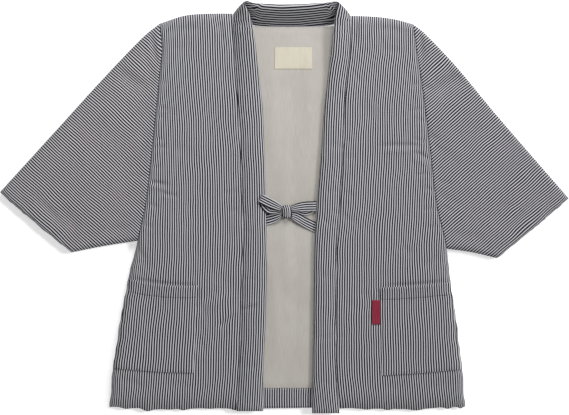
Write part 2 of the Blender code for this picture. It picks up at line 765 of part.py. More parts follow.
def build_sheet(corners: tuple[tuple[float, float], ...], base: float, thickness: float) -> bmesh.types.BMesh:
    """Return a small flat sheet with softened upper edges, from corner to corner."""
    low, high = corners
    bm = bmesh.new()
    bmesh.ops.create_cube(bm, size=1.0)
    size = Vector((high[0] - low[0], high[1] - low[1], thickness))
    middle = Vector(((high[0] + low[0]) / 2.0, (high[1] + low[1]) / 2.0, base + thickness / 2.0))
    bmesh.ops.scale(bm, vec=size, verts=bm.verts)
    bmesh.ops.translate(bm, vec=middle, verts=bm.verts)
    rim = [edge for edge in bm.edges if all(vert.co.z > middle.z for vert in edge.verts)]
    bmesh.ops.bevel(bm, geom=rim, offset=0.4 * thickness, offset_type="OFFSET", segments=1,
                    profile=0.5, affect="EDGES", material=-1)
    return bm


def build_inside(left: Half, right: Half, low_y: float, high_y: float, dip: float) -> bmesh.types.BMesh:
    """Return a flat sheet on the back, between the edges of the two fronts.

    Args:
        left: The left half of the front.
        right: The right half of the front.
        low_y: Where the sheet starts above the hem.
        high_y: Where it stops.
        dip: How much lower its upper edge lies in the middle.
    """
    heights = [low_y, *(row.y for row in BODY_ROWS if low_y + 8.0 < row.y < high_y - 8.0), high_y]
    rings = []
    for y in heights:
        start = left.seam_at(y).x + 3.0 * SEAM_GAP
        end = right.seam_at(y).x - 3.0 * SEAM_GAP
        places = []
        for share in (0.0, 0.25, 0.5, 0.75, 1.0):
            sag = dip * (1.0 - (2.0 * share - 1.0) ** 2) if y == high_y else 0.0
            places.append(Vector((start + (end - start) * share, y - sag, FRONT_BASE)))
        top = [place + Vector((0.0, 0.0, LINING_THICKNESS)) for place in places]
        rings.append(top + places[::-1])
    return loft(rings)


def build_strip(path: tuple[StripRow, ...], square: bool) -> bmesh.types.BMesh:
    """Return a flat cloth strip that follows a path, with its edges softened.

    Args:
        path: The rows that the strip's middle runs through.
        square: Whether its ends are square to it, or lie along a collar's edge.
    """
    keys = [float(index) for index in range(len(path))]
    middle = track([Vector(row[:3]) for row in path], keys)
    sizes = track([Vector(row[3:]) for row in path], keys)
    count = (len(path) - 1) * STEPS_BETWEEN_STRIP_ROWS
    places = [index / STEPS_BETWEEN_STRIP_ROWS for index in range(count + 1)]
    overall = Vector(path[len(path) // 2][:3]) - Vector(path[0][:3])
    sideways = Vector((-overall.y, overall.x, 0.0)).normalized() if square else Vector((0.0, 1.0, 0.0))
    rings = []
    for key in places:
        ahead, behind = middle(min(key + 0.05, keys[-1])), middle(max(key - 0.05, 0.0))
        up = (ahead - behind).cross(sideways).normalized()
        width, thickness = sizes(key)
        ring = []
        for turn in range(8):
            angle = 2.0 * pi * (turn + 0.5) / 8.0
            wide = 0.5 * width * (1.0 if abs(cos(angle)) > 0.7 else 0.88)
            side = wide if cos(angle) > 0.0 else -wide
            lift = 0.5 * thickness * (1.0 if abs(sin(angle)) > 0.7 else 0.35)
            ring.append(middle(key) + sideways * side + up * (lift if sin(angle) > 0.0 else -lift))
        rings.append(ring)
    return loft(rings)


def build_knot() -> bmesh.types.BMesh:
    """Return the knot: a soft lump of wrapped strip, wider above than below."""
    bm = bmesh.new()
    bmesh.ops.create_uvsphere(bm, u_segments=12, v_segments=8, radius=1.0)
    for vert in bm.verts:
        direction = vert.co.normalized()
        fill = 1.0 / max(hypot(direction.x, direction.z), abs(direction.y), 0.01) ** 0.5
        taper = 1.0 + 0.16 * direction.y
        vert.co.x = direction.x * fill * KNOT_HALF[0] * taper + KNOT_CENTRE[0]
        vert.co.y = direction.y * fill * KNOT_HALF[1] / sqrt(fill) + KNOT_CENTRE[1]
        vert.co.z = direction.z * fill * KNOT_HALF[2] + KNOT_CENTRE[2]
    return bm


def centre_on_origin(root: bpy.types.Object, pieces: list[bpy.types.Object]) -> None:
    """Move the jacket so that the middle of its underside is the origin."""
    corners = [Vector(corner) for piece in pieces for corner in piece.bound_box]
    low = Vector(min(corner[axis] for corner in corners) for axis in range(3))
    high = Vector(max(corner[axis] for corner in corners) for axis in range(3))
    root.location = (-(low.x + high.x) / 2.0, -(low.y + high.y) / 2.0, -low.z)


def main() -> None:
    """Build the jacket."""
    clear_scene()
    collection = bpy.data.collections.new("hanten")
    bpy.context.scene.collection.children.link(collection)
    root = bpy.data.objects.new("hanten_root", None)
    collection.objects.link(root)

    striped = new_material("striped_cotton", (0.216, 0.216, 0.235), 0.88)
    cream = new_material("cream_cotton", (0.53, 0.50, 0.46), 0.90)
    label = new_material("label_cloth", (0.67, 0.60, 0.49), 0.85)
    red = new_material("red_woven_tab", (0.33, 0.02, 0.04), 0.70)

    left, right = Half(LEFT), Half(RIGHT)
    sheets = (
        ("back", build_back(left, right), striped),
        ("front_left", build_front(left), striped),
        ("front_right", build_front(right), striped),
        ("sleeve_left", build_sleeve(left), striped),
        ("sleeve_right", build_sleeve(right), striped),
        ("collar", build_collar(left, right), striped),
        ("pocket_left", build_pocket(left, POCKET_LEFT), striped),
        ("pocket_right", build_pocket(right, POCKET_RIGHT), striped),
        ("lining", build_inside(left, right, FACING_TOP_Y + SEAM_GAP, LINING_TOP_Y, LINING_DIP), cream),
        ("hem_facing", build_inside(left, right, FACING_BOTTOM_Y, FACING_TOP_Y, 0.0), striped),
        ("neck_label", build_sheet(LABEL_CORNERS, LINING_TOP + SEAM_GAP, LABEL_THICKNESS), label),
        ("pocket_tab", build_sheet(TAB_CORNERS, FRONT_TOP + SEAM_GAP, TAB_THICKNESS), red),
        ("tie_left", build_strip(TIE_LEFT_PATH, square=False), striped),
        ("tie_right", build_strip(TIE_RIGHT_PATH, square=False), striped),
        ("bow_left", build_strip(LOOP_LEFT_PATH, square=True), striped),
        ("bow_right", build_strip(LOOP_RIGHT_PATH, square=False), striped),
        ("bow_knot", build_knot(), striped),
    )
    pieces = [add_piece(name, bm, material, collection, root) for name, bm, material in sheets]
    centre_on_origin(root, pieces)


main()
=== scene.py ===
"""The looks of a padded hanten that lies flat on its back, its front up.

Every size is in millimetres in the plan of the jacket, x to the viewer's right and y
towards the collar, and is turned to metres in the frame's own axes when a piece is made.
"Left" and "right" are the viewer's. Each padded panel is a fine grid that follows the
same seams as its solid, swollen between them, with creases and drawn-in seams on it. The
attribute "cloth" keeps where a point lies on the flat cloth, so stripes follow the cut.
"""

import logging
from collections.abc import Callable, Iterable
from dataclasses import dataclass, field
from enum import Enum
from math import atan2, exp, hypot, pi, radians, sin, sqrt

import bmesh
import bpy
from mathutils import Matrix, Vector, noise


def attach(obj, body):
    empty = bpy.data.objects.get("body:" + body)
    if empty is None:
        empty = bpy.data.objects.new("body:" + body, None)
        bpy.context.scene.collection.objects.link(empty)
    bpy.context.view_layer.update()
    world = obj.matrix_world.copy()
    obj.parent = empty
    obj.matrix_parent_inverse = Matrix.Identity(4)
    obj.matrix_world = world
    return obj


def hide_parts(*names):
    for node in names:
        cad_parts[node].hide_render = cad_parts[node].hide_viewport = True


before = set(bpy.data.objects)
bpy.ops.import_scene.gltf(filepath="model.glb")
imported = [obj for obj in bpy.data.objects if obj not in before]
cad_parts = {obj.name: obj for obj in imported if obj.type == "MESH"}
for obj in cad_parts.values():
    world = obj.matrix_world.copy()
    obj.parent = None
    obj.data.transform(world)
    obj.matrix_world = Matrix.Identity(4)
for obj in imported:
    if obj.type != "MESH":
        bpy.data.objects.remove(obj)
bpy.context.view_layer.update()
LOG = logging.getLogger("hanten")

METRES = 0.001
ROW_SHIFT = (0.25, 0.7, 0.0)
CLOTH = "cloth"
INDEX = "grid_index"

# Layers, from the floor up
BACK_THICKNESS = 11.0
SEAM_GAP = 0.3
FRONT_BASE = BACK_THICKNESS + SEAM_GAP
FRONT_THICKNESS = 11.2
LINING_THICKNESS = 1.0
SLEEVE_HALF = 10.0
SLEEVE_WALL = 9.2
POCKET_THICKNESS = 2.0

# Reach of each rounded edge, and the share of the full height that the edge keeps
FREE_REACH = 12.0
SEAM_REACH = 9.0
FREE_EDGE = 0.10
FOLD_EDGE = 0.04
COLLAR_SEAM_EDGE = 0.87
COLLAR_SEAM_REACH = 10.0
ARMHOLE_EDGE = 0.66
SLEEVE_HEAD_EDGE = 0.68
HEM_REACH = 19.0
SIDE_REACH = 15.0
CUFF_REACH = 13.0
CUFF_EDGE = 0.60
SHOULDER_FOLD = 13.0
SHOULDER_STEP = 1.2
ARMPIT_BLEND = 24.0

# Stripes start this far in, which puts the collar's seam in a light stripe
STRIPE_START = 2.3
# Cloth is drawn towards a crease by this share of its depth, less and less beyond its width
CREASE_DRAW = 0.62
CREASE_DRAW_FALL = 0.18

Track = Callable[[float], Vector]
Spot = tuple[Vector, Vector]
Place = Callable[[int, int], Spot]
Face = Callable[[int, int, bool], Spot]


class Slot(Enum):
    """The record's material slots."""

    STRIPED = "striped_cotton"
    CREAM = "cream_cotton"
    LABEL = "label_cloth"
    RED = "red_tab"


# ---- curves and soft steps


def track(points: list[Vector], keys: list[float] | None = None) -> Track:
    """Return a smooth curve through the points.

    Args:
        points: The points that it runs through, in order.
        keys: The rising parameter of each point; by default its share of the length.

    Returns:
        A function from the parameter to the point there.
    """
    if keys is None:
        lengths = [0.0]
        for before, after in zip(points, points[1:]):
            lengths.append(lengths[-1] + (after - before).length)
        keys = [length / lengths[-1] for length in lengths]
    last = len(points) - 1
    slopes = []
    for index in range(last + 1):
        low, high = max(index - 1, 0), min(index + 1, last)
        slopes.append((points[high] - points[low]) / (keys[high] - keys[low]))

    def at(parameter: float) -> Vector:
        """Return the point at one parameter, on a cubic between its two neighbours.

        Args:
            parameter: The parameter.

        Returns:
            The point.
        """
        index = 0
        while index < last - 1 and parameter > keys[index + 1]:
            index += 1
        span = keys[index + 1] - keys[index]
        t = (parameter - keys[index]) / span
        return (
            points[index] * (2 * t**3 - 3 * t**2 + 1)
            + slopes[index] * span * (t**3 - 2 * t**2 + t)
            + points[index + 1] * (3 * t**2 - 2 * t**3)
            + slopes[index + 1] * span * (t**3 - t**2)
        )

    return at


def plan_track(points: Iterable[tuple[float, ...]]) -> Track:
    """Return a smooth curve through points given as tuples."""
    return track([Vector(point) for point in points])


def rounded(distance: float, reach: float, edge: float) -> float:
    """Return the share of the full height that wadding has at a distance from an edge."""
    inward = min(max(distance / reach, 0.0), 1.0)
    return edge + (1.0 - edge) * sqrt(1.0 - (1.0 - inward) ** 2)


def eased(value: float) -> float:
    """Return a soft step from 0 to 1 as the value goes from 0 to 1."""
    clamped = min(max(value, 0.0), 1.0)
    return clamped * clamped * (3.0 - 2.0 * clamped)


def wobble(x: float, y: float = 0.0, seed: float = 0.0) -> float:
    """Return a smooth value from -1 to 1 that changes over about one unit."""
    return noise.noise(Vector((x, y, seed)))


def even_stops(length: float, edges: tuple[float, ...], spacing: float) -> list[float]:
    """Return rising shares of a length, close together at both its ends.

    Args:
        length: The length that the shares divide.
        edges: Distances from each end, rising.
        spacing: About how far apart the stops between them lie.

    Returns:
        The shares, from 0 to 1.
    """
    low, high = edges[-1], length - edges[-1]
    count = max(int((high - low) / spacing), 1)
    middle = [low + (high - low) * step / count for step in range(1, count)]
    distances = [*edges, *middle, *(length - stop for stop in reversed(edges))]
    return [distance / length for distance in distances]


# ---- creases


@dataclass(frozen=True)
class Crease:
    """A trough in the upper cloth from one end to the other; a ridge if depth < 0."""

    start: tuple[float, float]
    end: tuple[float, float]
    depth: float
    width: float
    bow: float = 0.0

    def local(self, x: float, y: float) -> tuple[float, float]:
        """Return the crease's share of its depth at a place, and the offset from it in widths.

        Args:
            x: The place's x.
            y: The place's y.

        Returns:
            The share, which is 0 past the ends, and the offset.
        """
        run_x, run_y = self.end[0] - self.start[0], self.end[1] - self.start[1]
        length = hypot(run_x, run_y)
        off_x, off_y = x - self.start[0], y - self.start[1]
        along = (off_x * run_x + off_y * run_y) / length**2
        if not 0.0 < along < 1.0:
            return 0.0, 0.0
        off = (off_y * run_x - off_x * run_y) / length - self.bow * 4.0 * along * (1.0 - along)
        return eased(1.4 - 1.4 * abs(2.0 * along - 1.0)), off / self.width

    def at(self, x: float, y: float) -> float:
        """Return how far this crease presses the cloth down at a place."""
        share, off = self.local(x, y)
        return self.depth * share * exp(-(off**2)) if share and abs(off) < 3.0 else 0.0

    def drawn(self, x: float, y: float) -> Vector:
        """Return how far the crease draws flat cloth in towards itself at a place.

        Args:
            x: The place's x.
            y: The place's y.

        Returns:
            The shift in the plan.
        """
        share, off = self.local(x, y)
        if not share or abs(off) > 5.0:
            return Vector((0.0, 0.0))
        run = Vector(self.end) - Vector(self.start)
        size = CREASE_DRAW * abs(self.depth) * share * off * exp(-CREASE_DRAW_FALL * off**2)
        return Vector((-run.y, run.x)).normalized() * size


def pressed(x: float, y: float, creases: tuple[Crease, ...]) -> float:
    """Return how far all the creases of a panel press it down at a place."""
    return sum(crease.at(x, y) for crease in creases)


def drawn_in(x: float, y: float, creases: tuple[Crease, ...], seed: float) -> Vector:
    """Return how far creases and slack draw the threads aside at a place.

    Args:
        x: The place's x.
        y: The place's y.
        creases: The panel's creases.
        seed: What makes one panel's slack differ from another's.

    Returns:
        The shift.
    """
    shift = Vector((1.3 * wobble(x / 75.0, y / 75.0, seed), 1.3 * wobble(x / 75.0, y / 75.0, seed + 1.0)))
    shift += Vector((wobble(x / 21.0, y / 27.0, seed + 2.0), wobble(x / 21.0, y / 27.0, seed + 3.0))) * 0.5
    return sum((crease.drawn(x, y) for crease in creases), shift)


def crease_rows(*rows: tuple[float, ...]) -> tuple[Crease, ...]:
    """Return creases from rows of numbers: x and y of both ends, depth, width and any bow."""
    return tuple(Crease(row[0:2], row[2:4], *row[4:]) for row in rows)


@dataclass(frozen=True)
class Pucker:
    """Short ripples square to a seam, where the thread draws the padding in."""

    depth: float
    spacing: float
    reach: float
    seed: float

    def at(self, along: float, off: float) -> float:
        """Return how far the cloth is drawn down, from its places along and off the seam.

        Args:
            along: The place along the seam.
            off: The distance from it.

        Returns:
            The depth.
        """
        if off > 4.0 * self.reach:
            return 0.0
        lean = 0.35 * wobble(along / 70.0, 0.0, self.seed + 3.0) * off / self.spacing
        wave = wobble(along / self.spacing + lean, 0.0, self.seed)
        size = 0.65 + 0.7 * wobble(along / 90.0, 0.0, self.seed + 9.0)
        return self.depth * size * wave * exp(-off / self.reach)


SLEEVE_LEFT_CREASES = crease_rows(
    (-322, 262, -250, 214, 3.6, 13), (-311, 276, -262, 236, -1, 6),
    (-430, 10, -384, -52, 2.2, 12), (-492, 44, -398, -50, 1.5, 7, -5),
    (-470, 22, -420, -34, 1.3, 5, 3), (-268, 318, -238, 214, 2.2, 9, -4),
    (-251, 342, -239, 262, 3.2, 5, -3), (-243, 236, -268, 226, 1.3, 4, 1),
    (-246, 142, -278, 128, 1.4, 4, -1), (-254, 62, -290, 58, 1.3, 4.5, 1.5),
    (-262, 8, -288, -4, 1.5, 4, -1), (-280, 300, -243, 268, -0.9, 7),
    (-247, 190, -283, 96, 1.1, 8, 6), (-252, 120, -318, 60, 1.2, 10, -7),
    (-262, 34, -330, 8, 1, 8, 5), (-284, -40, -352, -52, 1.4, 8, -4),
    (-370, 170, -310, 110, 0.8, 12, 8), (-420, 126, -372, 64, 0.7, 10, -6),
    (-345, -30, -398, -78, 1.1, 7, 4), (-508, 34, -476, -8, 0.9, 6, -2),
)
SLEEVE_RIGHT_CREASES = crease_rows(
    (345, 254, 270, 208, 3.6, 13), (332, 270, 284, 232, -1, 6),
    (424, 20, 392, -40, 2, 12), (492, 36, 404, -52, 1.4, 7, 5),
    (462, -6, 420, -52, 1.2, 5, -3), (263, 318, 252, 216, 2, 9, 4),
    (256, 340, 254, 268, 3, 5, 3), (258, 232, 284, 220, 1.3, 4, -1),
    (268, 136, 300, 124, 1.4, 4, 1), (284, 52, 318, 44, 1.3, 4.5, -1.5),
    (294, 2, 322, -10, 1.5, 4, 1), (284, 306, 258, 270, -0.8, 7),
    (264, 180, 300, 92, 1, 8, -6), (272, 118, 338, 66, 1.1, 10, 7),
    (284, 34, 350, -2, 1, 8, -5), (310, -52, 372, -66, 1.3, 8, 4),
    (384, 158, 330, 96, 0.8, 12, -8), (440, 104, 396, 40, 0.7, 10, 6),
    (352, -40, 398, -84, 1, 7, -4), (506, 14, 478, -24, 0.9, 6, 2),
)
FRONT_LEFT_CREASES = crease_rows(
    (-272, 48, -214, 40, 3.4, 3.6, 1.5), (-264, 40, -212, 32, -1.3, 4),
    (-240, 28, -198, 20, 2, 3.6, -1), (-236, 21, -200, 14, -0.8, 4),
    (-262, 190, -216, 184, 1.6, 4, 1), (-262, 166, -222, 172, 1.4, 3.6, -1),
    (-264, 130, -222, 126, 1.8, 3.8, 1), (-262, 107, -214, 114, 1.6, 4, 2),
    (-266, 80, -226, 74, 1.2, 4, -1), (-272, 6, -232, -2, 1.5, 4, 1),
    (-280, -28, -240, -40, 1.2, 4.4, -1), (-262, 232, -214, 236, 1.2, 4.4, 1),
    (-302, -132, -154, -147.5, 2.6, 3.2, -5), (-162, -146, -163.5, -184, 2.2, 3.2),
    (-158, -186, -120, -150, 1.6, 7, 2), (-148, -196, -100, -164, -1.2, 9, 2),
    (-244, 160, -200, 186, 1.3, 8, 3), (-160, 96, -228, 120, 1.2, 13),
    (-236, 324, -150, 338, 1.7, 8, 4), (-220, 296, -166, 312, 1, 8, -3),
    (-102, 362, -95.5, 298, 3, 3.6, -1), (-113, 360, -104, 306, -1.6, 4.6, -2),
    (-123, 358, -116, 304, 1.5, 5, -2), (-128, 344, -118, 300, -0.9, 6, 2),
    (-102, 268, -126, 238, 1, 6, 2), (-84, 34, -118, 22, 1.6, 6, 2),
    (-84, -6, -112, -12, 1.5, 5, -1), (-88, -44, -132, -66, 1.1, 8, 3),
    (-282, -74, -256, -104, 1.8, 6, -2), (-296, -106, -240, -118, 1, 9, 4),
    (-162, -176, -150, -214, 1.4, 6, 2), (-166, -240, -148, -276, 1, 7, -2),
    (-86, -196, -132, -232, 2.4, 4, 3), (-84, -186, -126, -216, -1.2, 5, 3),
    (-100, -160, -140, -120, 0.9, 10, -4), (-190, -60, -150, 20, 0.7, 14, 6),
    (-120, 190, -150, 110, 0.7, 12, -5), (-318, -326, -260, -344, 1.1, 7, 3),
    (-238, -330, -170, -340, 0.9, 8, -3),
)
FRONT_RIGHT_CREASES = crease_rows(
    (164, 113, 280, 114, 2.6, 4.6, 3), (176, 105, 262, 106, -1.1, 5),
    (236, 130, 282, 122, 1.6, 3.8, -1), (236, 106, 290, 82, 2.6, 3.8, 2),
    (232, 96, 278, 76, -1.1, 4.4), (256, 36, 300, 28, 1.8, 3.6, 1),
    (282, 186, 232, 180, 1.6, 4, -1), (284, 162, 244, 166, 1.3, 3.6, 1),
    (286, 64, 246, 58, 1.4, 4, -1), (300, 2, 256, -8, 1.5, 4, 1),
    (306, -34, 262, -44, 1.3, 4.4, -1), (276, 234, 226, 230, 1.2, 4.4, 1),
    (172, -149.5, 326, -138.5, 2.8, 3.2, -2), (177.5, -150, 179, -182, 2.2, 3.2),
    (172, -190, 140, -156, 1.2, 7, -2), (240, 326, 160, 338, 1.6, 8, -4),
    (228, 292, 176, 306, 1.1, 8, 3), (139, 360, 128, 306, 3, 3.6, 1),
    (149, 360, 141, 312, -1.6, 4.6, 2), (158, 356, 152, 300, 1.4, 5, 2),
    (156, 342, 146, 300, -0.9, 6, -2), (126, 262, 152, 230, 1, 6, -2),
    (112, 90, 140, 98, 1.1, 6, -2), (106, 30, 136, 14, 1.3, 6, 2),
    (104, -12, 138, -30, 1.2, 7, -2), (300, -84, 262, -116, 1.8, 7, 2),
    (222, -74, 244, -96, 1.5, 8, 2), (176, -166, 164, -206, 1.1, 6, -2),
    (170, -246, 156, -286, 0.9, 7, 2), (104, -176, 144, -190, 1, 8, -2),
    (140, -60, 200, 0, 0.7, 14, 6), (138, 200, 176, 150, 0.8, 12, 5),
    (326, -330, 268, -346, 1, 7, -3), (240, -332, 180, -342, 0.9, 8, 3),
)
COLLAR_CREASES = crease_rows(
    (-46, -136, -92, -140, 0.9, 5, -1), (-74, 27, -98, 32, 1.5, 4, -1),
    (-68, -9, -94, -13, 1.4, 4.5, 1), (-62, -44, -86, -50, 0.9, 5),
    (-40, -183, -96, -200, 2.2, 3.8, 1), (-44, -174, -94, -190, -0.9, 4.6),
    (-60, 112, -90, 98, 0.9, 6, 1), (-70, 236, -98, 220, 0.9, 6, -1),
    (-54, 170, -88, 176, 0.7, 5, 1), (-42, -300, -84, -306, 0.8, 6, -1),
    (72, 24, 108, 32, 1.2, 5, 1), (66, -22, 102, -36, 1.3, 5, -1),
    (80, 122, 116, 110, 1.2, 7, -1), (88, 206, 118, 216, 0.9, 6, 1),
    (62, -130, 100, -138, 0.9, 6, 1), (58, -250, 98, -242, 0.8, 6, -1),
    (58, -330, 100, -338, 0.8, 6, 1),
)
BACK_CREASES = crease_rows(
    (-180, 60, -60, 40, 0.5, 9, 5), (60, -80, 180, -60, 0.5, 8, -4),
)
LINING_CREASES = crease_rows(
    (-30, 330, -22, 40, -1.3, 11, 5), (16, 300, 20, -20, 0.9, 9, -4),
    (42, 338, 44, 90, -1.1, 10, 3), (-8, 120, 2, -180, -0.9, 12, 4),
    (26, 0, 24, -330, 0.9, 10, -3), (-26, -70, -14, -338, -1, 10, 4),
    (-24, -150, 36, -196, 0.6, 10, 5), (38, 60, -20, 20, 0.5, 9, -4),
)


# ---- the plan of the jacket


@dataclass(frozen=True)
class BodyRow:
    """The front's seams at one height: x of each edge, from the left side to the right."""

    y: float
    side_left: float
    seam_left: float
    free_left: float
    free_right: float
    seam_right: float
    side_right: float


BODY_ROWS = (
    BodyRow(-381.0, -331.0, -91.0, -40.0, 52.0, 104.0, 341.5),
    BodyRow(-310.0, -326.0, -86.0, -40.0, 53.0, 98.0, 337.5),
    BodyRow(-222.0, -312.5, -82.0, -36.0, 55.0, 97.0, 326.5),
    BodyRow(-131.0, -296.0, -80.0, -33.5, 56.0, 98.0, 314.0),
    BodyRow(-72.0, -280.0, -78.5, -33.5, 57.0, 99.0, 305.5),
    BodyRow(4.0, -263.0, -79.5, -35.0, 61.0, 105.0, 287.5),
    BodyRow(104.0, -251.0, -82.5, -38.0, 69.5, 111.0, 275.5),
    BodyRow(190.0, -242.0, -87.5, -41.5, 75.5, 114.0, 265.0),
    BodyRow(255.0, -235.5, -92.0, -49.0, 83.5, 119.0, 256.0),
    BodyRow(300.0, -231.0, -94.5, -54.0, 89.0, 124.5, 249.0),
    BodyRow(346.0, -236.0, -98.0, -61.0, 94.0, 126.0, 243.0),
)


@dataclass(frozen=True)
class HalfSizes:
    """The seams of one half of the jacket that differ from the other's."""

    side: str
    sign: float
    armpit_y: float
    hem: tuple[tuple[float, float], ...]
    shoulder: tuple[tuple[float, float], ...]
    sleeve_fold: tuple[tuple[float, float], ...]
    underarm: tuple[tuple[float, float], ...]
    cuff: tuple[tuple[float, float], ...]
    collar_end_y: float
    front_creases: tuple[Crease, ...]
    sleeve_creases: tuple[Crease, ...]
    hem_drops: tuple[tuple[float, float, float], ...]


LEFT = HalfSizes(
    side="left",
    sign=-1.0,
    armpit_y=-64.0,
    hem=((-91.0, -384.5), (-160.0, -384.5), (-240.0, -386.0), (-331.0, -381.0)),
    shoulder=((-98.5, 366.0), (-145.0, 366.0), (-190.0, 362.0), (-236.0, 347.0)),
    sleeve_fold=((-236.0, 347.0), (-266.0, 323.0), (-342.0, 244.0), (-433.0, 144.0), (-538.5, 28.0)),
    underarm=((-278.0, -64.0), (-342.0, -74.0), (-403.0, -86.0)),
    cuff=((-538.5, 28.0), (-503.0, -4.0), (-448.0, -49.0), (-403.0, -86.0)),
    collar_end_y=-386.0,
    front_creases=FRONT_LEFT_CREASES,
    sleeve_creases=SLEEVE_LEFT_CREASES,
    hem_drops=((-300.0, 1.6, 7.0), (-259.0, 2.8, 10.0), (-192.0, 1.8, 8.0), (-92.0, 2.4, 9.0)),
)
RIGHT = HalfSizes(
    side="right",
    sign=1.0,
    armpit_y=-79.0,
    hem=((104.0, -384.0), (180.0, -385.0), (260.0, -384.5), (341.5, -380.5)),
    shoulder=((126.0, 362.0), (173.0, 360.0), (210.0, 355.0), (243.0, 346.0)),
    sleeve_fold=((243.0, 346.0), (264.0, 330.0), (325.0, 266.0), (401.0, 174.5), (538.0, 16.5)),
    underarm=((307.0, -79.0), (355.0, -86.0), (402.0, -97.0)),
    cuff=((538.0, 16.5), (507.0, -10.5), (461.0, -49.0), (402.0, -97.0)),
    collar_end_y=-390.0,
    front_creases=FRONT_RIGHT_CREASES,
    sleeve_creases=SLEEVE_RIGHT_CREASES,
    hem_drops=((155.0, 1.2, 9.0), (196.0, 1.8, 8.0), (247.0, 2.2, 16.0), (308.0, 1.6, 6.0),
               (333.0, 2.2, 5.0)),
)


class Patch:
    """A flat four-sided panel whose inner points are blended from its four edges."""

    def __init__(self, start: Track, end: Track, near: Track, far: Track) -> None:
        """Keep the edges: start and end run along the panel, near and far run across it.

        Args:
            start: The edge along the panel where across is 0.
            end: The edge along it where across is 1.
            near: The edge across it where along is 0.
            far: The edge across it where along is 1.
        """
        self.start = start
        self.end = end
        self.near = near
        self.far = far

    def at(self, across: float, along: float) -> Vector:
        """Return the flat point at two shares, across from start and along from near.

        Args:
            across: The share from start to end.
            along: The share from near to far.

        Returns:
            The point.
        """
        sides = self.start(along).lerp(self.end(along), across)
        ends = self.near(across).lerp(self.far(across), along)
        low = self.start(0.0).lerp(self.end(0.0), across)
        high = self.start(1.0).lerp(self.end(1.0), across)
        return sides + ends - low.lerp(high, along)


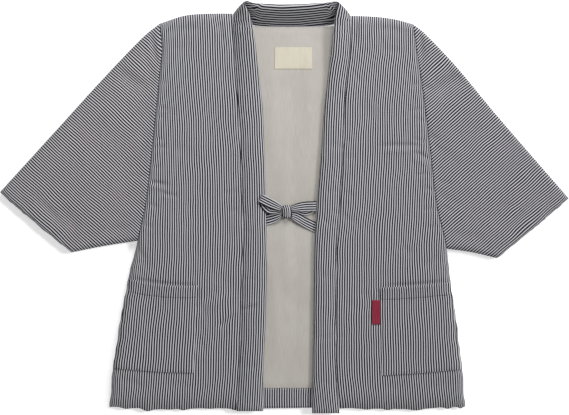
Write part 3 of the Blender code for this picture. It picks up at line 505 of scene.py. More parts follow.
@dataclass
class HalfPlan:
    """One half of the front in plan, and how high its padding stands."""

    sizes: HalfSizes
    edge_stops: tuple[float, ...] = (0.0, 0.5, 1.3, 2.6, 4.4, 6.8, 9.6)
    spacing: float = 2.8
    grain_fan: float = 0.12
    hem_roll: float = 3.0
    collar_pucker: Pucker = Pucker(0.9, 11.0, 13.0, 2.0)
    armhole_pucker: Pucker = Pucker(0.8, 12.0, 12.0, 14.0)
    side_pucker: Pucker = Pucker(0.9, 13.0, 16.0, 23.0)
    seam: Track = field(init=False)
    side: Track = field(init=False)
    free: Track = field(init=False)
    patch: Patch = field(init=False)
    bottom: float = field(init=False)
    height: float = field(init=False)
    armpit: float = field(init=False)
    mean_width: float = field(init=False)
    rows: list[float] = field(init=False)

    def __post_init__(self) -> None:
        """Work out the four seams and the rows of points."""
        sizes = self.sizes
        rows = BODY_ROWS[1:-1]
        seam = [Vector((getattr(row, f"seam_{sizes.side}"), row.y)) for row in rows]
        side = [Vector((getattr(row, f"side_{sizes.side}"), row.y)) for row in rows]
        seam = [Vector(sizes.hem[0]), *seam, Vector(sizes.shoulder[0])]
        side = [Vector(sizes.hem[-1]), *side, Vector(sizes.shoulder[-1])]
        free = [Vector((getattr(row, f"free_{sizes.side}"), row.y)) for row in BODY_ROWS]
        self.bottom, self.height = side[0].y, side[-1].y - side[0].y
        shares = [(point.y - self.bottom) / self.height for point in side]
        self.seam, self.side = track(seam, shares), track(side, shares)
        self.free = track(free, [row.y for row in BODY_ROWS])
        self.patch = Patch(self.seam, self.side, plan_track(sizes.hem), plan_track(sizes.shoulder))
        self.armpit = (sizes.armpit_y - self.bottom) / self.height
        self.rows = even_stops(self.height, (*self.edge_stops, 13.2), self.spacing)
        self.mean_width = 0.5 * (self.width(0.2) + self.width(0.8))

    def width(self, along: float) -> float:
        """Return the panel's width at a share of its height."""
        return (self.side(along) - self.seam(along)).length

    def columns(self, along: float) -> list[float]:
        """Return the shares across a row, a seam gap clear of both its ends.

        Args:
            along: The row's share of the height.

        Returns:
            The rising shares.
        """
        width = self.width(along)
        count = int((self.mean_width - 2.0 * self.edge_stops[-1]) / self.spacing)
        shares = even_stops(width, self.edge_stops, (width - 2.0 * self.edge_stops[-1]) / (count + 0.5))
        shares[0], shares[-1] = 0.5 * SEAM_GAP / width, 1.0 - 0.5 * SEAM_GAP / width
        return shares

    def side_edge(self, along: float) -> tuple[float, float]:
        """Return the side's reach and edge share, from side seam to armhole."""
        above = eased(0.5 + (along - self.armpit) * self.height / ARMPIT_BLEND)
        return SIDE_REACH + (SEAM_REACH - SIDE_REACH) * above, FREE_EDGE + (ARMHOLE_EDGE - FREE_EDGE) * above

    def seam_at(self, y: float) -> Vector:
        """Return the point of the collar seam at a height, found by halving its rows.

        Args:
            y: The height in the plan.

        Returns:
            The point.
        """
        low, high = 0.0, 1.0
        for _ in range(24):
            middle = 0.5 * (low + high)
            low, high = (middle, high) if self.seam(middle).y < y else (low, middle)
        return self.seam(low)

    def spot(self, across: float, along: float) -> Vector:
        """Return the plan point, with the hem's own scallops.

        Args:
            across: The share from the collar seam to the side.
            along: The share from hem to shoulder.

        Returns:
            The point in the plan.
        """
        point = self.patch.at(across, along)
        from_hem = along * self.height
        if from_hem < 30.0:
            drop = sum(size * exp(-(((point.x - x) / reach) ** 2)) for x, size, reach in self.sizes.hem_drops)
            drop += 0.9 * wobble(point.x / 19.0, 0.0, 40.0)
            point.y -= (1.5 * drop - 3.2) * (1.0 - eased(from_hem / 30.0))
        outer = (1.0 - across) * self.width(along)
        if outer < 30.0 and along < self.armpit:
            free = eased((self.armpit - along) * self.height / 30.0) * (1.0 - eased(outer / 30.0))
            point.x += self.sizes.sign * free * (3.0 * wobble(point.y / 24.0, 0.0, 45.0) - 0.8)
        return point

    def relief(self, place: Vector, across: float, along: float) -> float:
        """Return how far creases, seams and the uneven wadding press the upper face down.

        Args:
            place: The point in the plan.
            across: The share from the collar seam to the side.
            along: The share from hem to shoulder.

        Returns:
            The depth in all.
        """
        width = self.width(along)
        inner, outer = across * width, (1.0 - across) * width
        from_hem, from_fold = along * self.height, (1.0 - along) * self.height
        sag = pressed(place.x, place.y, self.sizes.front_creases)
        sag += self.collar_pucker.at(place.y, inner)
        seam = self.armhole_pucker if along > self.armpit else self.side_pucker
        sag += seam.at(place.y, outer)
        sag += 1.5 * wobble(place.x / 13.0, 0.0, 31.0) * exp(-from_hem / 16.0)
        sag += self.hem_roll * (1.0 - eased(from_hem / 32.0))
        sag += 0.8 * wobble(place.x / 17.0, 0.0, 37.0) * exp(-from_fold / 20.0)
        sag += (0.9 * wobble(place.x / 62.0, place.y / 84.0, 5.0)
                + 0.35 * wobble(place.x / 24.0, place.y / 33.0, 6.0))
        return sag * eased(outer / 14.0 + 0.15) * eased(from_fold / 10.0 + 0.1)

    def top(self, across: float, along: float, place: Vector) -> float:
        """Return the height of the front's upper face above the floor.

        Args:
            across: The share from the collar seam to the side.
            along: The share from hem to shoulder.
            place: The point in the plan.

        Returns:
            The height.
        """
        width = self.width(along)
        reach, edge = self.side_edge(along)
        share = rounded(across * width, COLLAR_SEAM_REACH, COLLAR_SEAM_EDGE)
        share *= rounded((1.0 - across) * width, reach, edge)
        share *= rounded(along * self.height, HEM_REACH, FREE_EDGE)
        share *= rounded((1.0 - along) * self.height, SHOULDER_FOLD, FOLD_EDGE)
        height = FRONT_BASE + FRONT_THICKNESS * share - share * self.relief(place, across, along)
        return max(height, FRONT_BASE + 0.4 if (1.0 - along) * self.height > SHOULDER_FOLD else 0.2)

    def under(self, across: float, along: float) -> float:
        """Return the height of the front's lower face, which reaches the floor in the fold.

        Args:
            across: The share from the collar seam to the side.
            along: The share from hem to shoulder.

        Returns:
            The height.
        """
        from_fold = (1.0 - along) * self.height
        if from_fold > SHOULDER_FOLD + 0.5 * SHOULDER_STEP:
            return FRONT_BASE
        width = self.width(along)
        reach, edge = self.side_edge(along)
        share = rounded((1.0 - across) * width, reach, edge) * rounded(from_fold, SHOULDER_FOLD, FOLD_EDGE)
        return BACK_THICKNESS * (1.0 - share)

    def grain(self, point: Vector, across: float, along: float) -> Vector:
        """Return the place on the flat cloth, whose threads run with the collar seam.

        Args:
            point: The point in space.
            across: The share from the collar seam to the side.
            along: The share from hem to shoulder.

        Returns:
            The place, in millimetres.
        """
        width = self.width(along)
        fan = (self.mean_width / width) ** self.grain_fan
        shift = drawn_in(point.x, point.y, self.sizes.front_creases, 100.0 + self.sizes.sign)
        shift *= eased(across * width / 30.0)
        # Cloth that rolls over the side's edge goes on by as much as it drops
        drop = FRONT_BASE + FRONT_THICKNESS - point.z
        over = drop * (1.0 - eased((1.0 - across) * width / 24.0))
        return Vector((across * width * fan + STRIPE_START + self.sizes.sign * shift.x + over,
                       along * self.height + shift.y, 0.0))

    def across_of(self, place: Vector, along: float) -> float:
        """Return the share across the panel at which a row passes nearest to a place."""
        start, end = self.seam(along), self.side(along)
        return (place - start).dot(end - start) / (end - start).length_squared


# ---- making a mesh


def cloth_grid(columns: int, rows: int, place: Place, under: Place | None = None,
               around: bool = False) -> bmesh.types.BMesh:
    """Return a grid of cloth laid out by a function, with a second face if it is padded.

    Args:
        columns: The number of points across.
        rows: The number of points along.
        place: From column and row to the point and its place on the flat cloth.
        under: The same for the other face; with it the cloth is a closed body.
        around: Whether the last column is sewn to the first.

    Returns:
        The grid, which the caller frees by making a piece of it.
    """
    bm = bmesh.new()
    index = bm.verts.layers.float_vector.new(INDEX)
    cloth = bm.verts.layers.float_vector.new(CLOTH)
    bmesh.ops.create_grid(bm, x_segments=columns - 1, y_segments=rows - 1, size=1.0)
    for vert in bm.verts:
        column = round((vert.co.x + 1.0) / 2.0 * (columns - 1))
        row = round((vert.co.y + 1.0) / 2.0 * (rows - 1))
        vert[index] = (column, row, 0.0)
        vert.co, vert[cloth] = place(column, row)
    if around:
        ends = [vert for vert in bm.verts if vert[index].x in (0.0, columns - 1.0)]
        bmesh.ops.remove_doubles(bm, verts=ends, dist=0.001)
    if under:
        grown = bmesh.ops.extrude_face_region(bm, geom=list(bm.faces))["geom"]
        for vert in grown:
            if isinstance(vert, bmesh.types.BMVert):
                vert.co, vert[cloth] = under(int(vert[index].x), int(vert[index].y))
    bm.verts.layers.float_vector.remove(bm.verts.layers.float_vector[INDEX])
    return bm


def both_faces(face: Face) -> tuple[Place, Place]:
    """Return a sheet's upper and lower face from one function that is told which it is."""
    return lambda column, row: face(column, row, True), lambda column, row: face(column, row, False)


def make_piece(name: str, bm: bmesh.types.BMesh, material: bpy.types.Material) -> bpy.types.Object:
    """Turn a mesh in the plan's millimetres into a piece that rides on the jacket.

    Args:
        name: The piece's name.
        bm: The mesh, which is freed.
        material: Its finish.

    Returns:
        The piece.
    """
    bmesh.ops.translate(bm, vec=ROW_SHIFT, verts=bm.verts)
    bmesh.ops.scale(bm, vec=(METRES, METRES, METRES), verts=bm.verts)
    bmesh.ops.recalc_face_normals(bm, faces=bm.faces)
    mesh = bpy.data.meshes.new(name)
    bm.to_mesh(mesh)
    bm.free()
    mesh.shade_smooth()
    mesh.materials.append(material)
    piece = bpy.data.objects.new(name, mesh)
    bpy.context.scene.collection.objects.link(piece)
    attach(piece, "root")
    LOG.info("%s: %d faces", name, len(mesh.polygons))
    return piece


# ---- finishes


def linear(hex_colour: str) -> tuple[float, float, float, float]:
    """Return a colour given as six sRGB hex digits as linear red, green, blue and alpha.

    Args:
        hex_colour: The colour's six digits.

    Returns:
        The four linear values.
    """
    values = [int(hex_colour[start:start + 2], 16) / 255.0 for start in (0, 2, 4)]
    red, green, blue = (v / 12.92 if v <= 0.04045 else ((v + 0.055) / 1.055) ** 2.4 for v in values)
    return red, green, blue, 1.0


def add_node(material: bpy.types.Material, kind: str, settings: dict[str, object] | None = None,
             inputs: dict[str | int, object] | None = None) -> bpy.types.Node:
    """Add a node to a material.

    Args:
        material: The material that gets it.
        kind: The node's type name without "ShaderNode".
        settings: Properties of the node itself.
        inputs: For each input socket, the socket that feeds it or its own value.

    Returns:
        The node.
    """
    tree = material.node_tree
    node = tree.nodes.new(f"ShaderNode{kind}")
    for name, value in (settings or {}).items():
        setattr(node, name, value)
    for name, value in (inputs or {}).items():
        if isinstance(value, bpy.types.NodeSocket):
            tree.links.new(value, node.inputs[name])
        else:
            node.inputs[name].default_value = value
    return node


def new_material(name: str) -> bpy.types.Material:
    """Return an empty node material with its output only.

    Args:
        name: The material's name.

    Returns:
        The material.
    """
    material = bpy.data.materials.new(name)
    material.use_nodes = True
    material.node_tree.nodes.clear()
    return material


def finish_surface(material: bpy.types.Material, colour: bpy.types.NodeSocket, height: bpy.types.NodeSocket,
                   roughness: float, relief: float, sheen: float) -> bpy.types.Material:
    """Join a colour and a height to a cloth shader.

    Args:
        material: The material to end.
        colour: The socket with the colour.
        height: The socket with the height, from 0 to 1.
        roughness: How matt the cloth is.
        relief: How high the pattern stands, in metres.
        sheen: How much the fibres catch grazing light.

    Returns:
        The same material.
    """
    bump = add_node(material, "Bump", inputs={"Strength": 1.0, "Distance": relief, "Height": height})
    shader = add_node(material, "BsdfPrincipled", inputs={
        "Base Color": colour, "Normal": bump.outputs["Normal"], "Roughness": roughness,
        "Sheen Weight": sheen, "Sheen Roughness": 0.5, "Specular IOR Level": 0.15, "IOR": 1.47})
    output = add_node(material, "OutputMaterial")
    material.node_tree.links.new(shader.outputs[0], output.inputs["Surface"])
    return material


@dataclass(frozen=True)
class StripedCotton:
    """Yarn-dyed plain-weave cotton with narrow warp stripes, blue-black and a little less of white."""

    name: str = "striped_cotton_yarn_dyed"
    dark: tuple[str, str] = ("0d0d12", "1c1c23")
    light: tuple[str, str] = ("b5b5bb", "cacacf")
    pitch: float = 4.5
    dark_share: float = 0.58
    edge: float = 0.04
    thread: float = 1.1
    roughness: float = 0.88

    def make(self) -> bpy.types.Material:
        """Build the material; the stripes read the cloth attribute, so they follow the cut.

        Returns:
            The material.
        """
        material = new_material(self.name)
        cloth = add_node(material, "Attribute", {"attribute_name": CLOTH}).outputs["Vector"]
        # Yarns wander a little, in a slow drift over about 60 mm
        slow = add_node(material, "TexNoise", inputs={"Vector": cloth, "Scale": 16.0, "Detail": 1.0})
        drift = add_node(material, "Math", {"operation": "MULTIPLY_ADD"},
                         {0: slow.outputs["Fac"], 1: 0.0044, 2: -0.0022})
        across = add_node(material, "SeparateXYZ", inputs={0: cloth})
        moved = add_node(material, "Math", {"operation": "ADD"},
                         {0: across.outputs["X"], 1: drift.outputs[0]})
        turns = add_node(material, "Math", {"operation": "MULTIPLY"},
                         {0: moved.outputs[0], 1: 1000.0 / self.pitch})
        wave = add_node(material, "Math", {"operation": "PINGPONG"}, {0: turns.outputs[0], 1: 0.5})
        middle = 0.5 * self.dark_share
        stripe = add_node(material, "MapRange", {"interpolation_type": "SMOOTHSTEP"}, {
            "Value": wave.outputs[0], "From Min": middle - self.edge, "From Max": middle + self.edge})
        # Uneven dye and slubs, long along the yarn and short across it
        stretch = add_node(material, "Mapping", inputs={"Vector": cloth, "Scale": (900.0, 60.0, 1.0)})
        slub = add_node(material, "TexNoise", inputs={
            "Vector": stretch.outputs[0], "Scale": 1.0, "Detail": 2.0, "Roughness": 0.6})
        # Weft threads cross the warp: both at the thread's spacing, drawn coarser than 0.5 mm to show
        step = 1000.0 / self.thread
        weave = add_node(material, "Mapping", inputs={"Vector": cloth, "Scale": (step, step, 1.0)})
        checker = add_node(material, "TexChecker", inputs={
            "Vector": weave.outputs[0], "Scale": 1.0, "Color1": (1, 1, 1, 1), "Color2": (0, 0, 0, 1)})
        dark = add_node(material, "Mix", {"data_type": "RGBA"}, {
            0: slub.outputs["Fac"], 6: linear(self.dark[0]), 7: linear(self.dark[1])})
        light = add_node(material, "Mix", {"data_type": "RGBA"}, {
            0: slub.outputs["Fac"], 6: linear(self.light[0]), 7: linear(self.light[1])})
        stripes = add_node(material, "Mix", {"data_type": "RGBA"}, {
            0: stripe.outputs[0], 6: dark.outputs[2], 7: light.outputs[2]})
        fleck = add_node(material, "MapRange", inputs={
            "Value": checker.outputs["Fac"], "To Min": 0.95, "To Max": 1.0})
        shaded = add_node(material, "Mix", {"data_type": "RGBA", "blend_type": "MULTIPLY"}, {
            0: 1.0, 6: stripes.outputs[2], 7: fleck.outputs[0]})
        height = add_node(material, "Math", {"operation": "ADD"}, {
            0: checker.outputs["Fac"], 1: slub.outputs["Fac"]})
        return finish_surface(material, shaded.outputs[2], height.outputs[0], self.roughness, 0.00005, 0.04)


@dataclass(frozen=True)
class PlainCotton:
    """Plain-weave cotton of one colour, such as an unbleached lining or a label."""

    name: str
    colour: str
    shade: str
    thread: float = 1.2
    roughness: float = 0.9
    sheen: float = 0.1

    def make(self) -> bpy.types.Material:
        """Build the material: a fine weave, thin slubs both ways and a cloudy tone.

        Returns:
            The material.
        """
        material = new_material(self.name)
        cloth = add_node(material, "Attribute", {"attribute_name": CLOTH}).outputs["Vector"]
        cloud = add_node(material, "TexNoise", inputs={"Vector": cloth, "Scale": 9.0, "Detail": 3.0})
        slubs = add_node(material, "Mapping", inputs={"Vector": cloth, "Scale": (700.0, 45.0, 1.0)})
        slub = add_node(material, "TexNoise", inputs={
            "Vector": slubs.outputs[0], "Scale": 1.0, "Detail": 2.0})
        step = 1000.0 / self.thread
        weave = add_node(material, "Mapping", inputs={"Vector": cloth, "Scale": (step, step, 1.0)})
        checker = add_node(material, "TexChecker", inputs={
            "Vector": weave.outputs[0], "Scale": 1.0, "Color1": (1, 1, 1, 1), "Color2": (0, 0, 0, 1)})
        tone = add_node(material, "Math", {"operation": "MULTIPLY"}, {
            0: cloud.outputs["Fac"], 1: slub.outputs["Fac"]})
        clear = add_node(material, "MapRange", inputs={
            "Value": tone.outputs[0], "From Min": 0.12, "From Max": 0.42})
        colour = add_node(material, "Mix", {"data_type": "RGBA"}, {
            0: clear.outputs[0], 6: linear(self.shade), 7: linear(self.colour)})
        height = add_node(material, "Math", {"operation": "ADD"}, {
            0: checker.outputs["Fac"], 1: slub.outputs["Fac"]})
        return finish_surface(material, colour.outputs[2], height.outputs[0], self.roughness, 0.00006,
                              self.sheen)


LINING_COTTON = PlainCotton("unbleached_cotton_plain_weave", "bbb7b1", "aeaaa3")
LABEL_COTTON = PlainCotton("label_cotton_twill_tape", "d1cbbc", "c5beac", thread=0.8)
TAB_COTTON = PlainCotton("red_polyester_satin_tape", "9c2a42", "6c1a2c", thread=0.7, roughness=0.5, sheen=0.2)
DARK_THREAD = PlainCotton("dark_cotton_sewing_thread", "34343c", "1c1c22", thread=0.4, roughness=0.7)
PALE_THREAD = PlainCotton("unbleached_cotton_sewing_thread", "d8d4ca", "bdb8ac", thread=0.4, roughness=0.7)


# ---- the pieces


@dataclass(frozen=True)
class FrontPanel:
    """A front: one padded layer from hem to shoulder that folds over the shoulder."""

    plan: HalfPlan

    def build(self, material: bpy.types.Material) -> bpy.types.Object:
        """Args:
            material: The cloth's finish.

        Returns:
            The piece.
        """
        plan = self.plan
        rows = plan.rows
        columns = [plan.columns(along) for along in rows]
        count = min(len(row) for row in columns)

        def place(column: int, row: int) -> Spot:
            """Return the upper face's point.

            Args:
                column: The point's place across.
                row: The point's place along.

            Returns:
                The point and its place on the flat cloth.
            """
            across, along = columns[row][column], rows[row]
            point = plan.spot(across, along)
            point = Vector((point.x, point.y, plan.top(across, along, point)))
            return point, plan.grain(point, across, along) * METRES

        def under(column: int, row: int) -> Spot:
            """Return the lower face's point.

            Args:
                column: The point's place across.
                row: The point's place along.

            Returns:
                The point and its place on the flat cloth.
            """
            across, along = columns[row][column], rows[row]
            point = plan.spot(across, along)
            point = Vector((point.x, point.y, plan.under(across, along)))
            return point, plan.grain(point, across, along) * METRES

        if any(len(row) != count for row in columns):
            raise ValueError("the rows of a front differ in their number of points")
        name = f"front_{plan.sizes.side}"
        bm = cloth_grid(count, len(rows), place, under)
        piece = make_piece(f"{name}_padded", bm, material)
        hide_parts(name)
        return piece


@dataclass(frozen=True)
class Back:
    """The back: one padded layer on the floor, cut out at the neck."""

    left: HalfPlan
    right: HalfPlan
    shoulder_inset: float = SHOULDER_FOLD + SHOULDER_STEP + 0.5
    hem_inset: float = 2.5
    hem_blend: float = 60.0
    spacing: float = 6.0
    middle_steps: int = 36
    neck_cut: tuple[tuple[float, float], ...] = (
        (-84.0, 345.5), (-62.0, 342.4), (-28.0, 340.9), (10.0, 340.4), (50.0, 340.8), (88.0, 342.2),
        (110.0, 344.2))

    def half_row(self, plan: HalfPlan, along: float) -> list[Vector]:
        """Return the lower points under one row of a front, from the seam to the side.

        Args:
            plan: The front above.
            along: The row's share of its height.

        Returns:
            The points.
        """
        reach, edge = plan.side_edge(along)
        width = plan.width(along)
        points = []
        for share in plan.columns(along):
            place = plan.spot(share, along)
            full = rounded((1.0 - share) * width, reach, edge)
            full *= rounded(along * plan.height, FREE_REACH, FREE_EDGE)
            rise = self.hem_inset * max(1.0 - along * plan.height / self.hem_blend, 0.0)
            points.append(Vector((place.x, place.y + rise, BACK_THICKNESS * (1.0 - full))))
        return points

    def rows(self) -> list[list[Vector]]:
        """Return every row of lower points, from the left side to the right.

        Returns:
            The rows, from the hem up.
        """
        top_left = 1.0 - self.shoulder_inset / self.left.height
        top_right = 1.0 - self.shoulder_inset / self.right.height
        shares = [share for share in even_stops(self.left.height, self.left.edge_stops, self.spacing)
                  if share < top_left - 0.004] + [top_left]
        cut = plan_track(self.neck_cut)
        first, last = self.half_row(self.left, top_left)[0], self.half_row(self.right, top_right)[0]
        found = []
        for left_along in shares:
            right_along = left_along / top_left * top_right
            left_row, right_row = self.half_row(self.left, left_along), self.half_row(self.right, right_along)
            rise = eased((left_along - 0.5) / 0.5)
            middle = []
            for step in range(1, self.middle_steps):
                share = step / self.middle_steps
                point = left_row[0].lerp(right_row[0], share)
                point.y += (cut(share).y - first.lerp(last, share).y) * rise
                middle.append(point)
            found.append(left_row[::-1] + middle + right_row)
        return found

    def build(self, material: bpy.types.Material) -> bpy.types.Object:
        """Args:
            material: The cloth's finish.

        Returns:
            The piece.
        """
        rows = self.rows()

        def place(column: int, row: int) -> Spot:
            """Return the upper face's point, which the lining and the fronts cover."""
            point = rows[row][column]
            return Vector((point.x, point.y, BACK_THICKNESS)), Vector((point.x, point.y, 0.0)) * METRES

        def under(column: int, row: int) -> Spot:
            """Return the lower face's point; the face is flat where it rests.

            Args:
                column: The point's place across.
                row: The point's place along.

            Returns:
                The point and its place on the flat cloth.
            """
            point = rows[row][column]
            dent = 0.0 if point.z > 0.01 else pressed(point.x, point.y, BACK_CREASES)
            over = point.z if point.x > 0.0 else -point.z
            return (Vector((point.x, point.y, point.z + dent)),
                    Vector((point.x + over, point.y + point.z, 0.0)) * METRES)

        bm = cloth_grid(len(rows[0]), len(rows), place, under)
        piece = make_piece("back_padded", bm, material)
        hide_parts("back")
        return piece


@dataclass(frozen=True)
class Sleeve:
    """A sleeve: a padded tube pressed flat, its stripes square to its top fold."""

    plan: HalfPlan
    spacing: float = 3.2
    slit: float = 0.8
    mouth_slit: float = 2.4
    rim: float = 0.34
    cuff_stops: tuple[float, ...] = (0.0, 0.5, 1.4, 3.0, 5.4, 8.6)

    def armhole(self, share: float) -> Vector:
        """Return the point just outside the armhole seam, from the fold to the armpit."""
        plan = self.plan
        return plan.side(1.0 - share * (1.0 - plan.armpit)) + Vector((plan.sizes.sign * 0.5 * SEAM_GAP, 0.0))

    def build(self, material: bpy.types.Material) -> bpy.types.Object:
        """Args:
            material: The cloth's finish.

        Returns:
            The piece.
        """
        plan, sizes = self.plan, self.plan.sizes
        fold, underarm = plan_track(sizes.sleeve_fold), plan_track(sizes.underarm)
        patch = Patch(fold, underarm, self.armhole, plan_track(sizes.cuff))
        depth = (self.armhole(1.0) - self.armhole(0.0)).length
        length = (fold(1.0) - fold(0.0)).length
        across = even_stops(0.75 * depth, (0.0, 0.4, 1.2, 2.6, 4.6, 7.4), self.spacing)
        rows = even_stops(length, self.cuff_stops, self.spacing)
        count = len(across)
        fold_way = (Vector(sizes.sleeve_fold[-1]) - Vector(sizes.sleeve_fold[1])).normalized()
        start = Vector(sizes.sleeve_fold[0])
        head_pucker, cuff_pucker = Pucker(1.1, 11.0, 13.0, 50.0), Pucker(0.9, 15.0, 12.0, 60.0)
        under_pucker = Pucker(0.9, 14.0, 14.0, 70.0 + sizes.sign)

        def share_of(column: int) -> tuple[float, float]:
            """Return the share across and the side, 1 above and -1 below, of a ring's column."""
            column %= 2 * count
            return (across[column], 1.0) if column < count else (across[2 * count - 1 - column], -1.0)

        def grain(point: Vector, from_cuff: float, inside: bool) -> Vector:
            """Return the place on the flat cloth, which rolls round the cuff into the sleeve.

            Args:
                point: The point in space.
                from_cuff: How far it is from the cuff.
                inside: Whether it is inside the sleeve.

            Returns:
                The place, in metres.
            """
            off = point.to_2d() - start + drawn_in(point.x, point.y, sizes.sleeve_creases, 110.0 + sizes.sign)
            head = exp(-((off.length / 60.0) ** 2))
            drop = SLEEVE_HALF - abs(point.z - SLEEVE_HALF)
            roll = 8.0 + 2.0 * from_cuff if inside else drop * (1.0 - eased(from_cuff / 24.0))
            return Vector((off.dot(fold_way) + 3.0 * head + roll, off.cross(fold_way), 0.0)) * METRES

        def place(column: int, row: int) -> Spot:
            """Return the outer face's point.

            Args:
                column: The point's place across.
                row: The point's place along.

            Returns:
                The point and its place on the flat cloth.
            """
            share, side = share_of(column)
            along = rows[row]
            point = patch.at(share, along)
            span = (patch.at(1.0, along) - patch.at(0.0, along)).length
            from_cuff = (1.0 - along) * length
            wave = 3.6 * wobble(share * span / 31.0, 0.0, 80.0 + sizes.sign)
            wave += 1.2 * wobble(share * span / 11.0, 0.0, 81.0)
            wave *= (1.0 - eased(from_cuff / 24.0)) * eased(share * 8.0) * eased((1.0 - share) * 8.0)
            point += fold_way * wave
            full = rounded(along * length, SEAM_REACH, SLEEVE_HEAD_EDGE)
            full *= rounded(from_cuff, CUFF_REACH, CUFF_EDGE)
            full *= rounded(from_cuff, 4.0, self.rim / CUFF_EDGE)
            full *= rounded(share * span, SLEEVE_HALF, FOLD_EDGE)
            full *= rounded((1.0 - share) * span, SLEEVE_HALF, FOLD_EDGE)
            if side < 0.0:
                point = Vector((point.x, point.y, SLEEVE_HALF * (1.0 - full)))
                return point, grain(point, from_cuff, False)
            sag = pressed(point.x, point.y, sizes.sleeve_creases)
            sag += head_pucker.at(share * span, along * length) + cuff_pucker.at(share * span, from_cuff)
            sag += under_pucker.at(along * length, (1.0 - share) * span)
            sag += (0.9 * wobble(point.x / 66.0, point.y / 66.0, 90.0)
                    + 0.35 * wobble(point.x / 26.0, point.y / 26.0, 91.0))
            sag *= eased(share * span / 16.0) * full
            point = Vector((point.x, point.y, SLEEVE_HALF * (1.0 + full) - sag))
            return point, grain(point, from_cuff, False)

        def bore(column: int, row: int) -> Spot:
            """Return the inner face's point, a wall in from each fold and a little in from each end.

            Args:
                column: The point's place across.
                row: The point's place along.

            Returns:
                The point and its place on the flat cloth.
            """
            share, side = share_of(column)
            along = min(max(rows[row], 0.4 / length), 1.0 - 0.4 / length)
            span = (patch.at(1.0, along) - patch.at(0.0, along)).length
            from_cuff = (1.0 - along) * length
            inset = (SLEEVE_WALL - 5.0 * (1.0 - eased(from_cuff / 30.0))) / span
            point = patch.at(inset + (1.0 - 2.0 * inset) * share, along)
            half = self.slit + (self.mouth_slit - self.slit) * (1.0 - eased(from_cuff / 60.0))
            half *= rounded(share * span, 20.0, 0.3) * rounded((1.0 - share) * span, 20.0, 0.3)
            point = Vector((point.x, point.y, SLEEVE_HALF + side * half))
            return point, grain(point, from_cuff, True)

        bm = cloth_grid(2 * count + 1, len(rows), place, bore, around=True)
        name = f"sleeve_{sizes.side}"
        piece = make_piece(f"{name}_padded", bm, material)
        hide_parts(name)
        return piece


@dataclass(frozen=True)
class Section:
    """A section of the collar strip: its sewn edge, its free edge and how full it is."""

    seam: tuple[float, float, float]
    free: tuple[float, float, float]
    fullness: float


